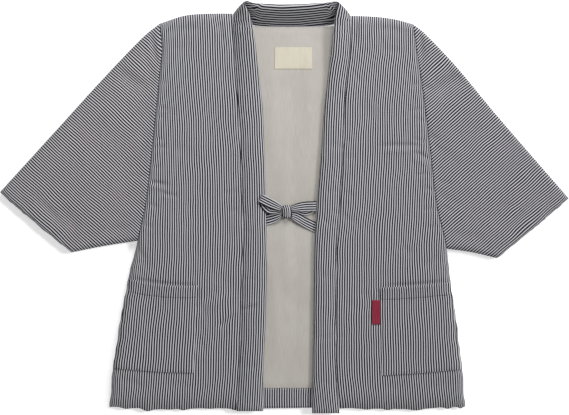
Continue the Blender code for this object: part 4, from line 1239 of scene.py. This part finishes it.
@dataclass(frozen=True)
class Collar:
    """The collar: one folded, padded strip from hem to hem that stands round the neck."""

    left: HalfPlan
    right: HalfPlan
    seam_z: float = 16.2
    free_z: float = 18.9
    rise_start_y: float = 215.0
    rise_end_y: float = 346.0
    rise: float = 13.0
    inside_pinch: float = 1.7
    spacing: float = 3.6
    neck_steps: int = 7
    ring_points: int = 34
    neck_middle_x: float = 15.0
    neck_corner_x: float = 78.0
    neck_corner_reach: float = 15.0
    seam_pucker: Pucker = Pucker(0.8, 11.0, 12.0, 2.0)
    free_pucker: Pucker = Pucker(0.45, 17.0, 10.0, 7.0)
    neck: tuple[Section, ...] = (
        Section((-97.6, 351.0, 16.2), (-64.0, 358.0, 36.5), 0.90),
        Section((-97.6, 358.5, 14.8), (-69.0, 370.5, 41.5), 0.76),
        Section((-96.8, 363.4, 12.8), (-74.4, 380.0, 45.3), 0.52),
        Section((-93.6, 364.8, 10.8), (-75.2, 387.0, 47.4), 0.38),
        Section((-87.4, 359.8, 9.0), (-69.6, 388.6, 47.8), 0.44),
        Section((-78.0, 352.4, 7.6), (-59.6, 385.4, 45.4), 0.66),
        Section((-62.0, 346.0, 6.6), (-47.5, 383.8, 43.8), 0.90),
        Section((-40.0, 343.8, 6.2), (-34.0, 382.8, 42.2), 1.0),
        Section((-14.0, 343.1, 6.0), (-12.0, 381.8, 41.2), 1.0),
        Section((14.0, 342.9, 6.0), (14.0, 381.8, 41.2), 1.0),
        Section((42.0, 343.3, 6.0), (40.0, 382.8, 41.6), 1.0),
        Section((70.0, 344.1, 6.2), (62.0, 384.2, 43.0), 1.0),
        Section((90.0, 346.4, 6.8), (77.5, 385.4, 44.8), 0.90),
        Section((105.0, 350.6, 7.6), (86.5, 386.8, 47.2), 0.66),
        Section((114.8, 357.4, 9.2), (95.4, 388.0, 47.8), 0.44),
        Section((121.0, 362.0, 11.0), (101.0, 386.4, 47.2), 0.38),
        Section((124.2, 360.6, 12.8), (101.4, 379.4, 44.8), 0.52),
        Section((125.1, 355.8, 14.8), (98.2, 369.6, 41.0), 0.76),
        Section((125.2, 349.2, 16.2), (95.2, 357.5, 36.5), 0.90),
    )
    profile: tuple[tuple[float, float], ...] = (
        (0.0, 4.3), (0.03, 4.8), (0.10, 5.8), (0.30, 7.6), (0.60, 7.3), (0.84, 5.8), (0.96, 3.2), (1.0, 0.0),
        (0.96, -3.0), (0.84, -4.9), (0.60, -4.7), (0.30, -3.8), (0.10, -2.9), (0.0, -2.4))

    def front_section(self, plan: HalfPlan, y: float, fullness: float) -> Section:
        """Return the section beside a front at a height.

        Args:
            plan: The front beside it.
            y: The height in the plan.
            fullness: How full the strip is there.

        Returns:
            The section.
        """
        seam, free = plan.seam_at(y), plan.free(y)
        rise = eased((y - self.rise_start_y) / (self.rise_end_y - self.rise_start_y))
        inward = -plan.sizes.sign * 0.5 * SEAM_GAP
        free_z = self.free_z + self.rise * rise
        return Section((seam.x + inward, y, self.seam_z), (free.x, y, free_z), fullness)

    def front_sections(self, plan: HalfPlan) -> list[Section]:
        """Return the sections up one front, from the rounded end at the hem.

        Args:
            plan: The front beside them.

        Returns:
            The sections, from the hem up.
        """
        end_y = plan.sizes.collar_end_y
        low = [(0.0, 0.35), (0.5, 0.5), (1.3, 0.64), (2.6, 0.80), (4.4, 0.92)]
        sections = [self.front_section(plan, end_y + step, fullness) for step, fullness in low]
        count = int((self.rise_end_y - end_y - 7.0) / self.spacing)
        for step in range(count + 1):
            y = end_y + 7.0 + (self.rise_end_y - end_y - 7.0) * step / count
            sections.append(self.front_section(plan, y, 1.0))
        return sections

    def neck_sections(self) -> list[Section]:
        """Return the sections round the neck, with smooth ones between the given ones.

        Returns:
            The sections, from the left to the right.
        """
        keys = [float(index) for index in range(len(self.neck))]
        seams = track([Vector(section.seam) for section in self.neck], keys)
        frees = track([Vector(section.free) for section in self.neck], keys)
        fulls = track([Vector((section.fullness, 0.0)) for section in self.neck], keys)
        places = [index / self.neck_steps for index in range((len(self.neck) - 1) * self.neck_steps + 1)]
        return [Section(tuple(seams(key)), tuple(frees(key)), fulls(key).x) for key in places]

    def ring(self, section: Section, along: float, outward: Vector) -> list[Spot]:
        """Return one ring of points round the strip.

        Args:
            section: The section that the ring lies in.
            along: How far along the strip it is, in millimetres.
            outward: The unit direction square to the strip's face.

        Returns:
            The ring's points, from the seam over the outer face and back under the inner one.
        """
        seam, free = Vector(section.seam), Vector(section.free)
        width = (free - seam).length
        outline = plan_track([(share * width, height) for share, height in self.profile])
        near_neck = eased((seam.y - 300.0) / 50.0)
        # The strip is crumpled where it turns the two corners of the neck
        from_middle = abs(0.5 * (seam.x + free.x) - self.neck_middle_x)
        near_corner = near_neck * exp(-(((from_middle - self.neck_corner_x) / self.neck_corner_reach) ** 2))
        # Round the neck the upright strip is taken up, so its stripes look as wide from above
        taken_up = ((free - seam).to_2d().length / width) ** 0.9
        spots = []
        travelled = 0.0
        before = None
        for step in range(self.ring_points):
            flat = outline(step / (self.ring_points - 1))
            if before is not None:
                travelled += (flat - before).length * taken_up
            before = flat
            full = section.fullness if flat.y > 0.0 else section.fullness**self.inside_pinch
            point = seam.lerp(free, min(flat.x / width, 1.0)) + outward * flat.y * full
            if flat.y > 0.0:
                sag = self.seam_pucker.at(along, flat.x) + self.free_pucker.at(along, width - flat.x)
                from_free = width - flat.x
                sag += (0.5 * wobble(along / 55.0, flat.x / 30.0, 11.0)
                        + 0.25 * wobble(along / 19.0, flat.x / 22.0, 12.0))
                sag += 1.3 * near_neck * wobble(along / 9.0, flat.x / 34.0, 13.0) * eased(from_free / 12.0)
                sag += 5.0 * near_corner * wobble(along / 6.5, flat.x / 13.0, 15.0) * eased(from_free / 7.0)
                point -= outward * sag * eased(flat.y / 4.0) * section.fullness
                point.z -= pressed(point.x, point.y, COLLAR_CREASES) * eased(flat.y / 4.0)
            swirl = 4.5 * near_corner * wobble(along / 9.0, flat.x / 15.0, 14.0)
            grain = Vector((travelled + STRIPE_START + swirl, along, 0.0)) * METRES
            spots.append((self.clear_of_fronts(point), grain))
        return spots

    def clear_of_fronts(self, point: Vector) -> Vector:
        """Return the point, moved in where it would reach past the fronts' seam edge.

        Args:
            point: A point of the strip.

        Returns:
            The point, moved if need be.
        """
        plan = self.left if point.x < 0.0 else self.right
        limit = abs(plan.seam_at(point.y).x) - 0.5 * SEAM_GAP
        return Vector((min(max(point.x, -limit), limit), point.y, point.z))

    def build(self, material: bpy.types.Material) -> bpy.types.Object:
        """Args:
            material: The cloth's finish.

        Returns:
            The piece.
        """
        neck = self.neck_sections()
        sections = self.front_sections(self.left) + neck + self.front_sections(self.right)[::-1]
        middles = [(Vector(section.seam) + Vector(section.free)) / 2.0 for section in sections]
        rings = []
        along = 0.0
        for index, section in enumerate(sections):
            before, after = middles[max(index - 1, 0)], middles[min(index + 1, len(middles) - 1)]
            outward = (Vector(section.free) - Vector(section.seam)).cross(after - before).normalized()
            along += (middles[index] - middles[max(index - 1, 0)]).length
            rings.append(self.ring(section, along, outward))

        def place(column: int, row: int) -> Spot:
            """Return the strip's point; the last column is the first again."""
            return rings[row][column % len(rings[row])]

        bm = cloth_grid(len(rings[0]) + 1, len(rings), place, around=True)
        rims = [edge for edge in bm.edges if edge.is_boundary]
        bmesh.ops.holes_fill(bm, edges=rims, sides=0)
        piece = make_piece("collar_padded", bm, material)
        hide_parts("collar")
        return piece


@dataclass(frozen=True)
class Pocket:
    """A patch pocket laid over a front, hemmed at its mouth."""

    plan: HalfPlan
    top_side: tuple[float, float]
    top_inner: tuple[float, float]
    bottom_inner: tuple[float, float]
    bottom_side: tuple[float, float]
    clearance: float = 0.55
    mouth_lift: float = 4.4
    band: float = 25.0
    band_step: float = 0.5
    spacing: float = 3.2
    fan: float = 0.35
    spread: float = 14.0

    def spot(self, share: float, along: float) -> tuple[Vector, float]:
        """Return the plan point and the height of the pocket's lower face there.

        Args:
            share: The share from the inner edge to the side.
            along: The share from the mouth to the bottom.

        Returns:
            The point and the height.
        """
        top, bottom = Vector(self.top_inner), Vector(self.bottom_inner)
        side_top, side_bottom = Vector(self.top_side), Vector(self.bottom_side)
        depth = (bottom - top).length
        place = top.lerp(bottom, along).lerp(side_top.lerp(side_bottom, along), share)
        # The mouth hangs in a shallow curve between its ends
        place.y -= 5.0 * (4.0 * share * (1.0 - share)) * (1.0 - eased(along * 2.0)) * self.slack
        row = (place.y - self.plan.bottom) / self.plan.height
        across = min(self.plan.across_of(place, row), 1.0 - 0.6 * SEAM_GAP / self.plan.width(row))
        flat = self.plan.spot(across, row)
        mouth = max(1.0 - along * depth / (1.2 * self.band), 0.0) ** 1.4
        lift = self.mouth_lift * mouth * (4.0 * share * (1.0 - share)) ** 0.5
        swell = 0.5 * max(wobble(share * 5.0, along * 4.0, 17.0 + self.plan.sizes.sign), 0.0)
        swell *= eased(min(share, 1.0 - share, 1.0 - along) * 6.0)
        return flat, self.plan.top(across, row, flat) + self.clearance + lift + swell

    @property
    def slack(self) -> float:
        """Return how far the mouth's curve hangs, as a share of the left pocket's."""
        return 1.0 if self.plan.sizes.sign < 0.0 else 0.35

    def thickness(self, share: float, along: float, width: float, depth: float) -> float:
        """Return how thick the cloth is: doubled in the mouth's hem, thin at its turned edges.

        Args:
            share: The share from the inner edge to the side.
            along: The share from the mouth to the bottom.
            width: The pocket's width.
            depth: The pocket's depth.

        Returns:
            The thickness.
        """
        band = self.band_step * eased((self.band + 0.6 - along * depth) / 1.2)
        groove = 1.1 * exp(-(((along * depth - self.band + 1.5) / 1.0) ** 2))
        groove += 0.6 * exp(-(((share * width - 2.6) / 1.0) ** 2)) * eased(along * depth / 4.0)
        groove += 0.6 * exp(-((((1.0 - along) * depth - 2.6) / 1.0) ** 2))
        thin = rounded(share * width, 2.4, 0.4) * rounded(along * depth, 2.4, 0.5)
        thin *= rounded((1.0 - along) * depth, 2.4, 0.4)
        return max((POCKET_THICKNESS + band) * thin - groove, 0.5)

    def seams(self, width: float, depth: float) -> list[list[Vector]]:
        """Return the lines that the stitches follow: round three edges and under the mouth's hem.

        Args:
            width: The pocket's width.
            depth: The pocket's depth.

        Returns:
            The lines, each as its points.
        """

        def on_cloth(share: float, along: float) -> Vector:
            """Return a point on the upper face."""
            flat, base = self.spot(share, along)
            return Vector((flat.x, flat.y, base + self.thickness(share, along, width, depth) + 0.1))

        steps = [step / 24.0 for step in range(25)]
        inset, low = 2.6 / width, 1.0 - 2.6 / depth
        across = [inset + (1.0 - 2.0 * inset) * step for step in steps]
        return [[on_cloth(share, (self.band - 1.5) / depth) for share in across],
                [on_cloth(share, low) for share in across],
                [on_cloth(inset, low * step) for step in steps],
                [on_cloth(1.0 - inset, low * step) for step in steps]]

    def build(self, material: bpy.types.Material) -> bpy.types.Object:
        """Args:
            material: The cloth's finish.

        Returns:
            The piece.
        """
        width = (Vector(self.top_side) - Vector(self.top_inner)).length
        depth = (Vector(self.bottom_inner) - Vector(self.top_inner)).length
        fine = (0.0, 0.5, 1.4, 2.6, 4.2)
        columns, rows = even_stops(width, fine, self.spacing), even_stops(depth, fine, self.spacing)
        hem = [(self.band + step) / depth for step in (-4.4, -3.0, -2.2, -1.5, -0.8, 0.0, 0.6, 1.2, 2.0)]
        rows = sorted([row for row in rows if not hem[0] - 0.006 < row < hem[-1] + 0.006] + hem)
        def spots(column: int, row: int, upper: bool) -> Spot:
            """Return a point of the lower or the upper face.

            Args:
                column: The point's place across.
                row: The point's place along.
                upper: Whether it lies on the upper face.

            Returns:
                The point and its place on the flat cloth.
            """
            share, along = columns[column], rows[row]
            flat, base = self.spot(share, along)
            own = width + self.spread * along
            threads = share * own ** (1.0 - self.fan) * width**self.fan + 1.0
            lift = self.thickness(share, along, width, depth) if upper else 0.0
            return Vector((flat.x, flat.y, base + lift)), Vector((threads, along * depth, 0.0)) * METRES

        bm = cloth_grid(len(columns), len(rows), *both_faces(spots))
        Stitching(f"pocket_{self.plan.sizes.side}_stitches").build(
            self.seams(width, depth), DARK_THREAD.make(), Slot.STRIPED)
        name = f"pocket_{self.plan.sizes.side}"
        piece = make_piece(f"{name}_patch", bm, material)
        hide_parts(name)
        return piece


@dataclass(frozen=True)
class Inside:
    """A flat layer on the back between the fronts: the lining, or the turned-up hem."""

    left: HalfPlan
    right: HalfPlan
    low_y: float
    high_y: float
    dip: float
    folds: float

    def height(self, x: float, y: float) -> float:
        """Return how high the cloth's lower face lies, with its soft folds.

        Args:
            x: The place's x.
            y: The place's y.

        Returns:
            The height.
        """
        left, right = self.left.seam_at(y).x, self.right.seam_at(y).x
        edge = eased((min(x - left, right - x) - 14.0) / 26.0)
        ends = eased((y - self.low_y) / 10.0) * eased((self.high_y - y) / 14.0)
        rise = 0.9 - pressed(x, y, LINING_CREASES)
        rise += 0.35 * wobble(x / 18.0, y / 60.0, 19.0) + 0.2 * wobble(x / 8.0, y / 21.0, 20.0)
        return FRONT_BASE + self.folds * max(rise, 0.0) * edge * ends

    def spots(self, share: float, along: float, lift: float) -> Spot:
        """Return the point at two shares, lifted off the lower face.

        Args:
            share: The share from the left to the right.
            along: The share from low to high.
            lift: How far above the lower face it lies.

        Returns:
            The point and its place on the flat cloth.
        """
        y = self.low_y + (self.high_y - self.low_y) * along
        start = self.left.seam_at(y).x + 3.0 * SEAM_GAP
        end = self.right.seam_at(y).x - 3.0 * SEAM_GAP
        x = start + (end - start) * share
        y -= self.dip * (1.0 - (2.0 * share - 1.0) ** 2) * along**8
        return Vector((x, y, self.height(x, y) + lift)), Vector((x, y, 0.0)) * METRES

    def make_grid(self, spacing: float) -> bmesh.types.BMesh:
        """Return the layer as a closed sheet.

        Args:
            spacing: About how far apart its points lie.

        Returns:
            The grid.
        """
        columns = even_stops(190.0, (0.0, 1.5), spacing)
        rows = even_stops(self.high_y - self.low_y, (0.0, 0.4, 1.0, 2.0), spacing)

        def thick(along: float) -> float:
            """Return the sheet's thickness, rounded at its two ends."""
            length = self.high_y - self.low_y
            ends = rounded(along * length, 1.6, 0.4) * rounded((1.0 - along) * length, 1.6, 0.4)
            return LINING_THICKNESS * ends

        return cloth_grid(len(columns), len(rows),
                          lambda column, row: self.spots(columns[column], rows[row], thick(rows[row])),
                          lambda column, row: self.spots(columns[column], rows[row], 0.0))

    def top_seam(self) -> list[Vector]:
        """Return the line just under the upper edge that its stitches follow."""
        along = 1.0 - 1.8 / (self.high_y - self.low_y)
        return [self.spots(0.12 + 0.76 * step / 30.0, along, LINING_THICKNESS + 0.1)[0] for step in range(31)]


@dataclass(frozen=True)
class Label:
    """The neck label: a piece of tape sewn flat on the lining, left bare."""

    lining: Inside
    low: tuple[float, float] = (-19.0, 261.0)
    high: tuple[float, float] = (52.0, 302.0)
    thickness: float = 0.9

    def spot(self, x: float, y: float) -> float:
        """Return the height of the label's lower face."""
        return self.lining.height(x, y) + LINING_THICKNESS + 0.3

    def build(self, material: bpy.types.Material) -> bpy.types.Object:
        """Args:
            material: The cloth's finish.

        Returns:
            The piece.
        """
        width, depth = self.high[0] - self.low[0], self.high[1] - self.low[1]
        columns = even_stops(width, (0.0, 0.3, 0.9, 1.8, 2.8), 2.0)
        rows = even_stops(depth, (0.0, 0.3, 0.9, 1.8, 2.8), 2.0)

        def spots(column: int, row: int, upper: bool) -> Spot:
            """Return a point of the lower or the upper face.

            Args:
                column: The point's place across.
                row: The point's place along.
                upper: Whether it lies on the upper face.

            Returns:
                The point and its place on the flat cloth.
            """
            x, y = self.low[0] + width * columns[column], self.low[1] + depth * rows[row]
            inset = min(columns[column], 1.0 - columns[column]) * width
            inset = min(inset, min(rows[row], 1.0 - rows[row]) * depth)
            lift = self.thickness * rounded(inset, 1.2, 0.45) - 0.25 * exp(-(((inset - 2.2) / 0.7) ** 2))
            return Vector((x, y, self.spot(x, y) + (lift if upper else 0.0))), Vector((x, y, 0.0)) * METRES

        bm = cloth_grid(len(columns), len(rows), *both_faces(spots))
        low, high = Vector(self.low) + Vector((2.2, 2.2)), Vector(self.high) - Vector((2.2, 2.2))
        corners = [low, Vector((high.x, low.y)), high, Vector((low.x, high.y)), low]
        lines = []
        for start, end in zip(corners, corners[1:]):
            points = [start.lerp(end, step / 6.0) for step in range(7)]
            lines.append([Vector((point.x, point.y, self.spot(*point) + 0.8)) for point in points])
        Stitching("neck_label_stitches", stitch=2.2).build(lines, PALE_THREAD.make(), Slot.LABEL)
        piece = make_piece("neck_label_tape", bm, material)
        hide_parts("neck_label")
        return piece


@dataclass(frozen=True)
class Tab:
    """The pocket's red tab: a folded bit of tape, left bare."""

    plan: HalfPlan
    low: tuple[float, float] = (165.5, -222.0)
    high: tuple[float, float] = (181.0, -176.0)
    thickness: float = 1.4

    def build(self, material: bpy.types.Material) -> bpy.types.Object:
        """Args:
            material: The cloth's finish.

        Returns:
            The piece.
        """
        width, depth = self.high[0] - self.low[0], self.high[1] - self.low[1]
        columns = even_stops(width, (0.0, 0.3, 0.8, 1.6), 1.2)
        rows = even_stops(depth, (0.0, 0.3, 0.8, 1.6), 1.6)

        def spots(column: int, row: int, upper: bool) -> Spot:
            """Return a point of the lower or the upper face.

            Args:
                column: The point's place across.
                row: The point's place along.
                upper: Whether it lies on the upper face.

            Returns:
                The point and its place on the flat cloth.
            """
            x, y = self.low[0] + width * columns[column], self.low[1] + depth * rows[row]
            along = (y - self.plan.bottom) / self.plan.height
            across = self.plan.across_of(Vector((x, y)), along)
            base = self.plan.top(across, along, Vector((x, y))) + 0.35
            base += 0.9 * (1.0 - columns[column]) ** 2 + 0.3 * sin(pi * rows[row])
            inset = min(columns[column], 1.0 - columns[column]) * width
            inset = min(inset, min(rows[row], 1.0 - rows[row]) * depth)
            lift = self.thickness * rounded(inset, 1.1, 0.4)
            return Vector((x, y, base + (lift if upper else 0.0))), Vector((x, y, 0.0)) * METRES

        bm = cloth_grid(len(columns), len(rows), *both_faces(spots))
        piece = make_piece("pocket_tab_tape", bm, material)
        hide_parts("pocket_tab")
        return piece


@dataclass(frozen=True)
class StripRow:
    """One place on a tie: the strip's middle, its width and its thickness there."""

    middle: tuple[float, float, float]
    width: float
    thickness: float


@dataclass(frozen=True)
class Strip:
    """A flat tie strip of four layers of cloth that follows a path."""

    node: str
    name: str
    rows: tuple[StripRow, ...]
    square: bool
    flat: tuple[float, float]
    held: str
    lies_on: str
    steps: int = 9

    def build(self, material: bpy.types.Material) -> bpy.types.Object:
        """Args:
            material: The cloth's finish.

        Returns:
            The piece.
        """
        keys = [float(index) for index in range(len(self.rows))]
        middle = track([Vector(row.middle) for row in self.rows], keys)
        sizes = track([Vector((row.width, row.thickness)) for row in self.rows], keys)
        overall = Vector(self.rows[len(self.rows) // 2].middle) - Vector(self.rows[0].middle)
        sideways = Vector((0.0, 1.0, 0.0))
        if self.square:
            sideways = Vector((-overall.y, overall.x, 0.0)).normalized()
        columns = even_stops(18.0, (0.0, 0.3, 0.8, 1.6), 1.5)
        places = [index / self.steps for index in range((len(self.rows) - 1) * self.steps + 1)]
        lengths = [0.0]
        for low, high in zip(places, places[1:]):
            lengths.append(lengths[-1] + (middle(high) - middle(low)).length)

        def spots(column: int, row: int, upper: bool) -> Spot:
            """Return a point of the lower or the upper face.

            Args:
                column: The point's place across.
                row: The point's place along.
                upper: Whether it lies on the upper face.

            Returns:
                The point and its place on the flat cloth.
            """
            key = places[row]
            ahead, behind = middle(min(key + 0.05, keys[-1])), middle(max(key - 0.05, 0.0))
            up = (ahead - behind).cross(sideways).normalized()
            width, thickness = sizes(key)
            share = columns[column]
            inset = min(share, 1.0 - share) * width
            half = 0.5 * thickness * rounded(inset, 1.3, 0.3)
            # Gathered cloth folds lengthwise where the knot pinches it
            pinch = eased((19.0 - width) / 9.0)
            ridge = 0.35 * pinch * sin(6.0 * pi * share) - 0.2 * exp(-(((inset - 2.0) / 0.6) ** 2))
            offset = (half + ridge * 0.5) if upper else (ridge * 0.5 - half)
            point = middle(key) + sideways * width * (share - 0.5) + up * offset
            return point, Vector((share * 18.0 + 1.1, lengths[row], 0.0)) * METRES

        bm = cloth_grid(len(columns), len(places), *both_faces(spots))
        piece = make_piece(self.name, bm, material)
        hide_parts(self.node)
        return piece


STRIPS = (
    Strip("tie_left", "tie_left_strip", (
        StripRow((-35.2, -24.4, 14.6), 20.0, 1.8), StripRow((-24.0, -22.0, 16.2), 20.0, 1.8),
        StripRow((-14.0, -18.6, 18.6), 18.0, 2.2), StripRow((-6.2, -15.2, 20.4), 12.0, 3.4),
    ), False, (0.020, 0.031), "laid", "collar_padded"),
    Strip("tie_right", "tie_right_strip", (
        StripRow((13.7, -16.4, 20.0), 12.0, 3.4), StripRow((24.0, -20.8, 18.4), 18.0, 2.2),
        StripRow((40.0, -29.6, 16.2), 20.0, 1.8), StripRow((59.5, -38.8, 14.6), 20.0, 1.8),
    ), False, (0.020, 0.051), "laid", "collar_padded"),
    Strip("bow_left", "bow_left_loop", (
        StripRow((-6.7, -4.4, 21.4), 11.0, 2.0), StripRow((-16.0, -5.6, 22.6), 16.0, 1.8),
        StripRow((-28.0, -3.4, 24.0), 19.0, 1.8), StripRow((-38.0, 5.6, 25.4), 19.0, 1.8),
        StripRow((-43.6, 15.4, 26.4), 17.6, 1.8), StripRow((-45.0, 16.1, 28.0), 17.0, 1.8),
        StripRow((-43.2, 15.2, 29.7), 17.6, 1.8), StripRow((-37.0, 12.1, 30.0), 18.0, 1.8),
        StripRow((-27.0, 7.1, 28.9), 18.0, 1.8), StripRow((-15.4, 1.4, 26.6), 15.0, 1.8),
        StripRow((-6.4, -2.6, 24.4), 11.0, 2.0),
    ), True, (0.018, 0.091), "folded", "collar_padded"),
    Strip("bow_right", "bow_right_loop", (
        StripRow((13.7, -3.4, 19.4), 11.0, 2.0), StripRow((24.0, -3.8, 17.6), 15.0, 1.8),
        StripRow((38.0, -7.0, 16.6), 18.0, 1.8), StripRow((52.0, -3.0, 15.8), 18.0, 1.8),
        StripRow((57.4, 2.0, 16.2), 18.0, 1.8), StripRow((59.1, 2.1, 18.0), 17.6, 1.8),
        StripRow((57.6, 2.0, 20.2), 18.0, 1.8), StripRow((52.0, 1.8, 21.6), 18.0, 1.8),
        StripRow((38.0, 1.2, 22.8), 18.0, 1.8), StripRow((24.0, -0.6, 24.0), 15.0, 1.8),
        StripRow((13.8, -3.0, 23.8), 11.0, 2.0),
    ), False, (0.018, 0.095), "folded", "collar_padded"),
)


@dataclass(frozen=True)
class Knot:
    """The bow's knot: the strip wrapped once round itself, its stripes up and down."""

    centre: tuple[float, float, float] = (4.0, -9.0, 21.5)
    half: tuple[float, float, float] = (10.0, 13.0, 6.0)

    def build(self, material: bpy.types.Material) -> bpy.types.Object:
        """Args:
            material: The cloth's finish.

        Returns:
            The piece.
        """
        bm = bmesh.new()
        cloth = bm.verts.layers.float_vector.new(CLOTH)
        bmesh.ops.create_uvsphere(bm, u_segments=72, v_segments=48, radius=1.0)
        for vert in bm.verts:
            direction = vert.co.normalized()
            fill = 1.0 / max(hypot(direction.x, direction.z), abs(direction.y), 0.01) ** 0.5
            taper = 1.0 + 0.16 * direction.y
            x = direction.x * fill * self.half[0] * taper
            y = direction.y * fill * self.half[1] / sqrt(fill)
            z = direction.z * fill * self.half[2]
            lean = x + 0.012 * y * y + 0.10 * y
            fold = 0.45 * sin(lean * 2.0 * pi / 6.4) * eased(direction.z + 0.5)
            fold *= eased(1.4 - abs(direction.x) * 1.3)
            vert.co = Vector((x, y, z)) * (1.0 + fold / 12.0) + Vector(self.centre)
            wrap = self.half[1] * atan2(direction.z, direction.y)
            vert[cloth] = Vector((lean * 1.12, wrap, 0.0)) * METRES
        piece = make_piece("bow_knot_wrapped", bm, material)
        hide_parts("bow_knot")
        return piece


@dataclass(frozen=True)
class Stitching:
    """A row of hand or machine stitches, each a short length of thread that dips at its ends."""

    name: str
    stitch: float = 2.6
    gap: float = 1.3
    thread: float = 0.55

    def build(self, lines: list[list[Vector]], material: bpy.types.Material, slot: Slot) -> bpy.types.Object:
        """Make the stitches along each line of points on the cloth.

        Args:
            lines: The lines that they follow.
            material: The thread's finish.
            slot: The material slot of the cloth that they are sewn on; not used.

        Returns:
            The piece with all the stitches.
        """
        bm = bmesh.new()
        cloth = bm.verts.layers.float_vector.new(CLOTH)
        for line in lines:
            curve = track(line)
            length = sum((after - before).length for before, after in zip(line, line[1:]))
            count = int(length / (self.stitch + self.gap))
            for index in range(count):
                middle = curve((index + 0.5) / count)
                ahead = curve(min((index + 0.5) / count + 0.5 * self.stitch / length, 1.0))
                behind = curve(max((index + 0.5) / count - 0.5 * self.stitch / length, 0.0))
                turn = (ahead - behind).to_track_quat("X", "Z").to_matrix().to_4x4()
                size = Matrix.Diagonal((0.5 * self.stitch, 0.5 * self.thread, 0.45 * self.thread, 1.0))
                made = bmesh.ops.create_icosphere(bm, subdivisions=1, radius=1.0,
                                                  matrix=Matrix.Translation(middle) @ turn @ size)
                for vert in made["verts"]:
                    vert[cloth] = vert.co * METRES
        return make_piece(self.name, bm, material)


@dataclass(frozen=True)
class Studio:
    """A pale floor, a large soft key from the upper right, a weak fill and the camera above."""

    camera_height: float = 10.0
    camera_place: tuple[float, float] = (0.00025, -0.00025)
    frame_width: float = 569.0 * 1.894 * METRES
    floor_size: float = 14.0
    key_way: tuple[float, float, float] = (0.84, 0.22, 0.78)
    key_strength: float = 1.65
    key_softness: float = 16.0
    top_place: tuple[float, float, float] = (0.2, 1.45, 1.3)
    top_energy: float = 24.0
    top_size: float = 0.9
    world_strength: float = 0.33
    floor_glow: float = 0.45

    def floor(self) -> None:
        """Make the floor, a table of opal white acrylic that is lit a little from below."""
        material = new_material("opal_white_acrylic")
        place = add_node(material, "TexCoord").outputs["Object"]
        grain = add_node(material, "TexNoise", inputs={"Vector": place, "Scale": 3.0, "Detail": 2.0})
        colour = add_node(material, "Mix", {"data_type": "RGBA"}, {
            0: grain.outputs["Fac"], 6: linear("fbfbfb"), 7: linear("fefefe")})
        finish_surface(material, colour.outputs[2], grain.outputs["Fac"], 0.95, 0.00002, 0.0)
        shader = next(node for node in material.node_tree.nodes if node.type == "BSDF_PRINCIPLED")
        shader.inputs["Emission Color"].default_value = linear("ffffff")
        shader.inputs["Emission Strength"].default_value = self.floor_glow
        bm = bmesh.new()
        bmesh.ops.create_grid(bm, x_segments=4, y_segments=4, size=0.5 * self.floor_size)
        bmesh.ops.translate(bm, vec=(0.0, 0.0, -0.0003), verts=bm.verts)
        mesh = bpy.data.meshes.new("floor")
        bm.to_mesh(mesh)
        bm.free()
        mesh.materials.append(material)
        floor = bpy.data.objects.new("floor", mesh)
        bpy.context.scene.collection.objects.link(floor)

    def place_light(self, data: bpy.types.Light, place: tuple[float, float, float]) -> None:
        """Put a light somewhere so that it looks at the jacket's middle.

        Args:
            data: The light.
            place: Where it stands, in metres.
        """
        lamp = bpy.data.objects.new(data.name, data)
        lamp.location = place
        lamp.rotation_euler = (-Vector(place)).to_track_quat("-Z", "Y").to_euler()
        lamp.visible_camera = False
        bpy.context.scene.collection.objects.link(lamp)

    def lights(self) -> None:
        """Add a large soft key far off to the right and a softbox beyond the collar."""
        key = bpy.data.lights.new("key", "SUN")
        key.energy = self.key_strength
        key.angle = radians(self.key_softness)
        self.place_light(key, self.key_way)
        top = bpy.data.lights.new("top", "AREA")
        top.energy = self.top_energy
        top.size = self.top_size
        self.place_light(top, self.top_place)

    def world(self) -> None:
        """Light the jacket evenly from all round."""
        world = bpy.data.worlds.new("studio")
        world.use_nodes = True
        background = world.node_tree.nodes["Background"]
        background.inputs["Color"].default_value = linear("ffffff")
        background.inputs["Strength"].default_value = self.world_strength
        bpy.context.scene.world = world

    def camera(self) -> None:
        """Set the camera straight above the middle of the frame, with the picture's top at +Y."""
        data = bpy.data.cameras.new("camera")
        data.lens = data.sensor_width * self.camera_height / self.frame_width
        data.clip_end = 100.0
        camera = bpy.data.objects.new("camera", data)
        camera.location = (*self.camera_place, self.camera_height)
        bpy.context.scene.collection.objects.link(camera)
        bpy.context.scene.camera = camera

    def build(self) -> None:
        """Set up the whole studio."""
        self.floor()
        self.lights()
        self.world()
        self.camera()
        bpy.context.scene.view_settings.view_transform = "Standard"


def main() -> None:
    """Build every piece of the jacket in order, then the studio."""
    logging.basicConfig(level=logging.INFO, format="%(message)s")
    left, right = HalfPlan(LEFT), HalfPlan(RIGHT)
    striped = StripedCotton().make()
    cream = LINING_COTTON.make()
    Back(left, right).build(striped)
    for plan in (left, right):
        FrontPanel(plan).build(striped)
        Sleeve(plan).build(striped)
    Collar(left, right).build(striped)
    Pocket(left, (-295.0, -136.0), (-164.0, -149.0), (-172.0, -313.0), (-325.5, -305.0)).build(striped)
    Pocket(right, (314.5, -142.0), (181.0, -152.0), (184.0, -317.0), (335.0, -307.0)).build(striped)
    lining = Inside(left, right, -342.7, 341.6, 1.6, 1.0)
    piece = make_piece("lining_cotton", lining.make_grid(3.6), cream)
    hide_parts("lining")
    facing = Inside(left, right, -378.0, -343.0, 0.0, 0.3)
    piece = make_piece("hem_facing_cotton", facing.make_grid(2.6), striped)
    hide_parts("hem_facing")
    Stitching("hem_facing_stitches").build([facing.top_seam()], PALE_THREAD.make(), Slot.STRIPED)
    Label(lining).build(LABEL_COTTON.make())
    Tab(right).build(TAB_COTTON.make())
    for strip in STRIPS:
        strip.build(striped)
    Knot().build(striped)
    Studio().build()


if __name__ == "__main__":
    main()
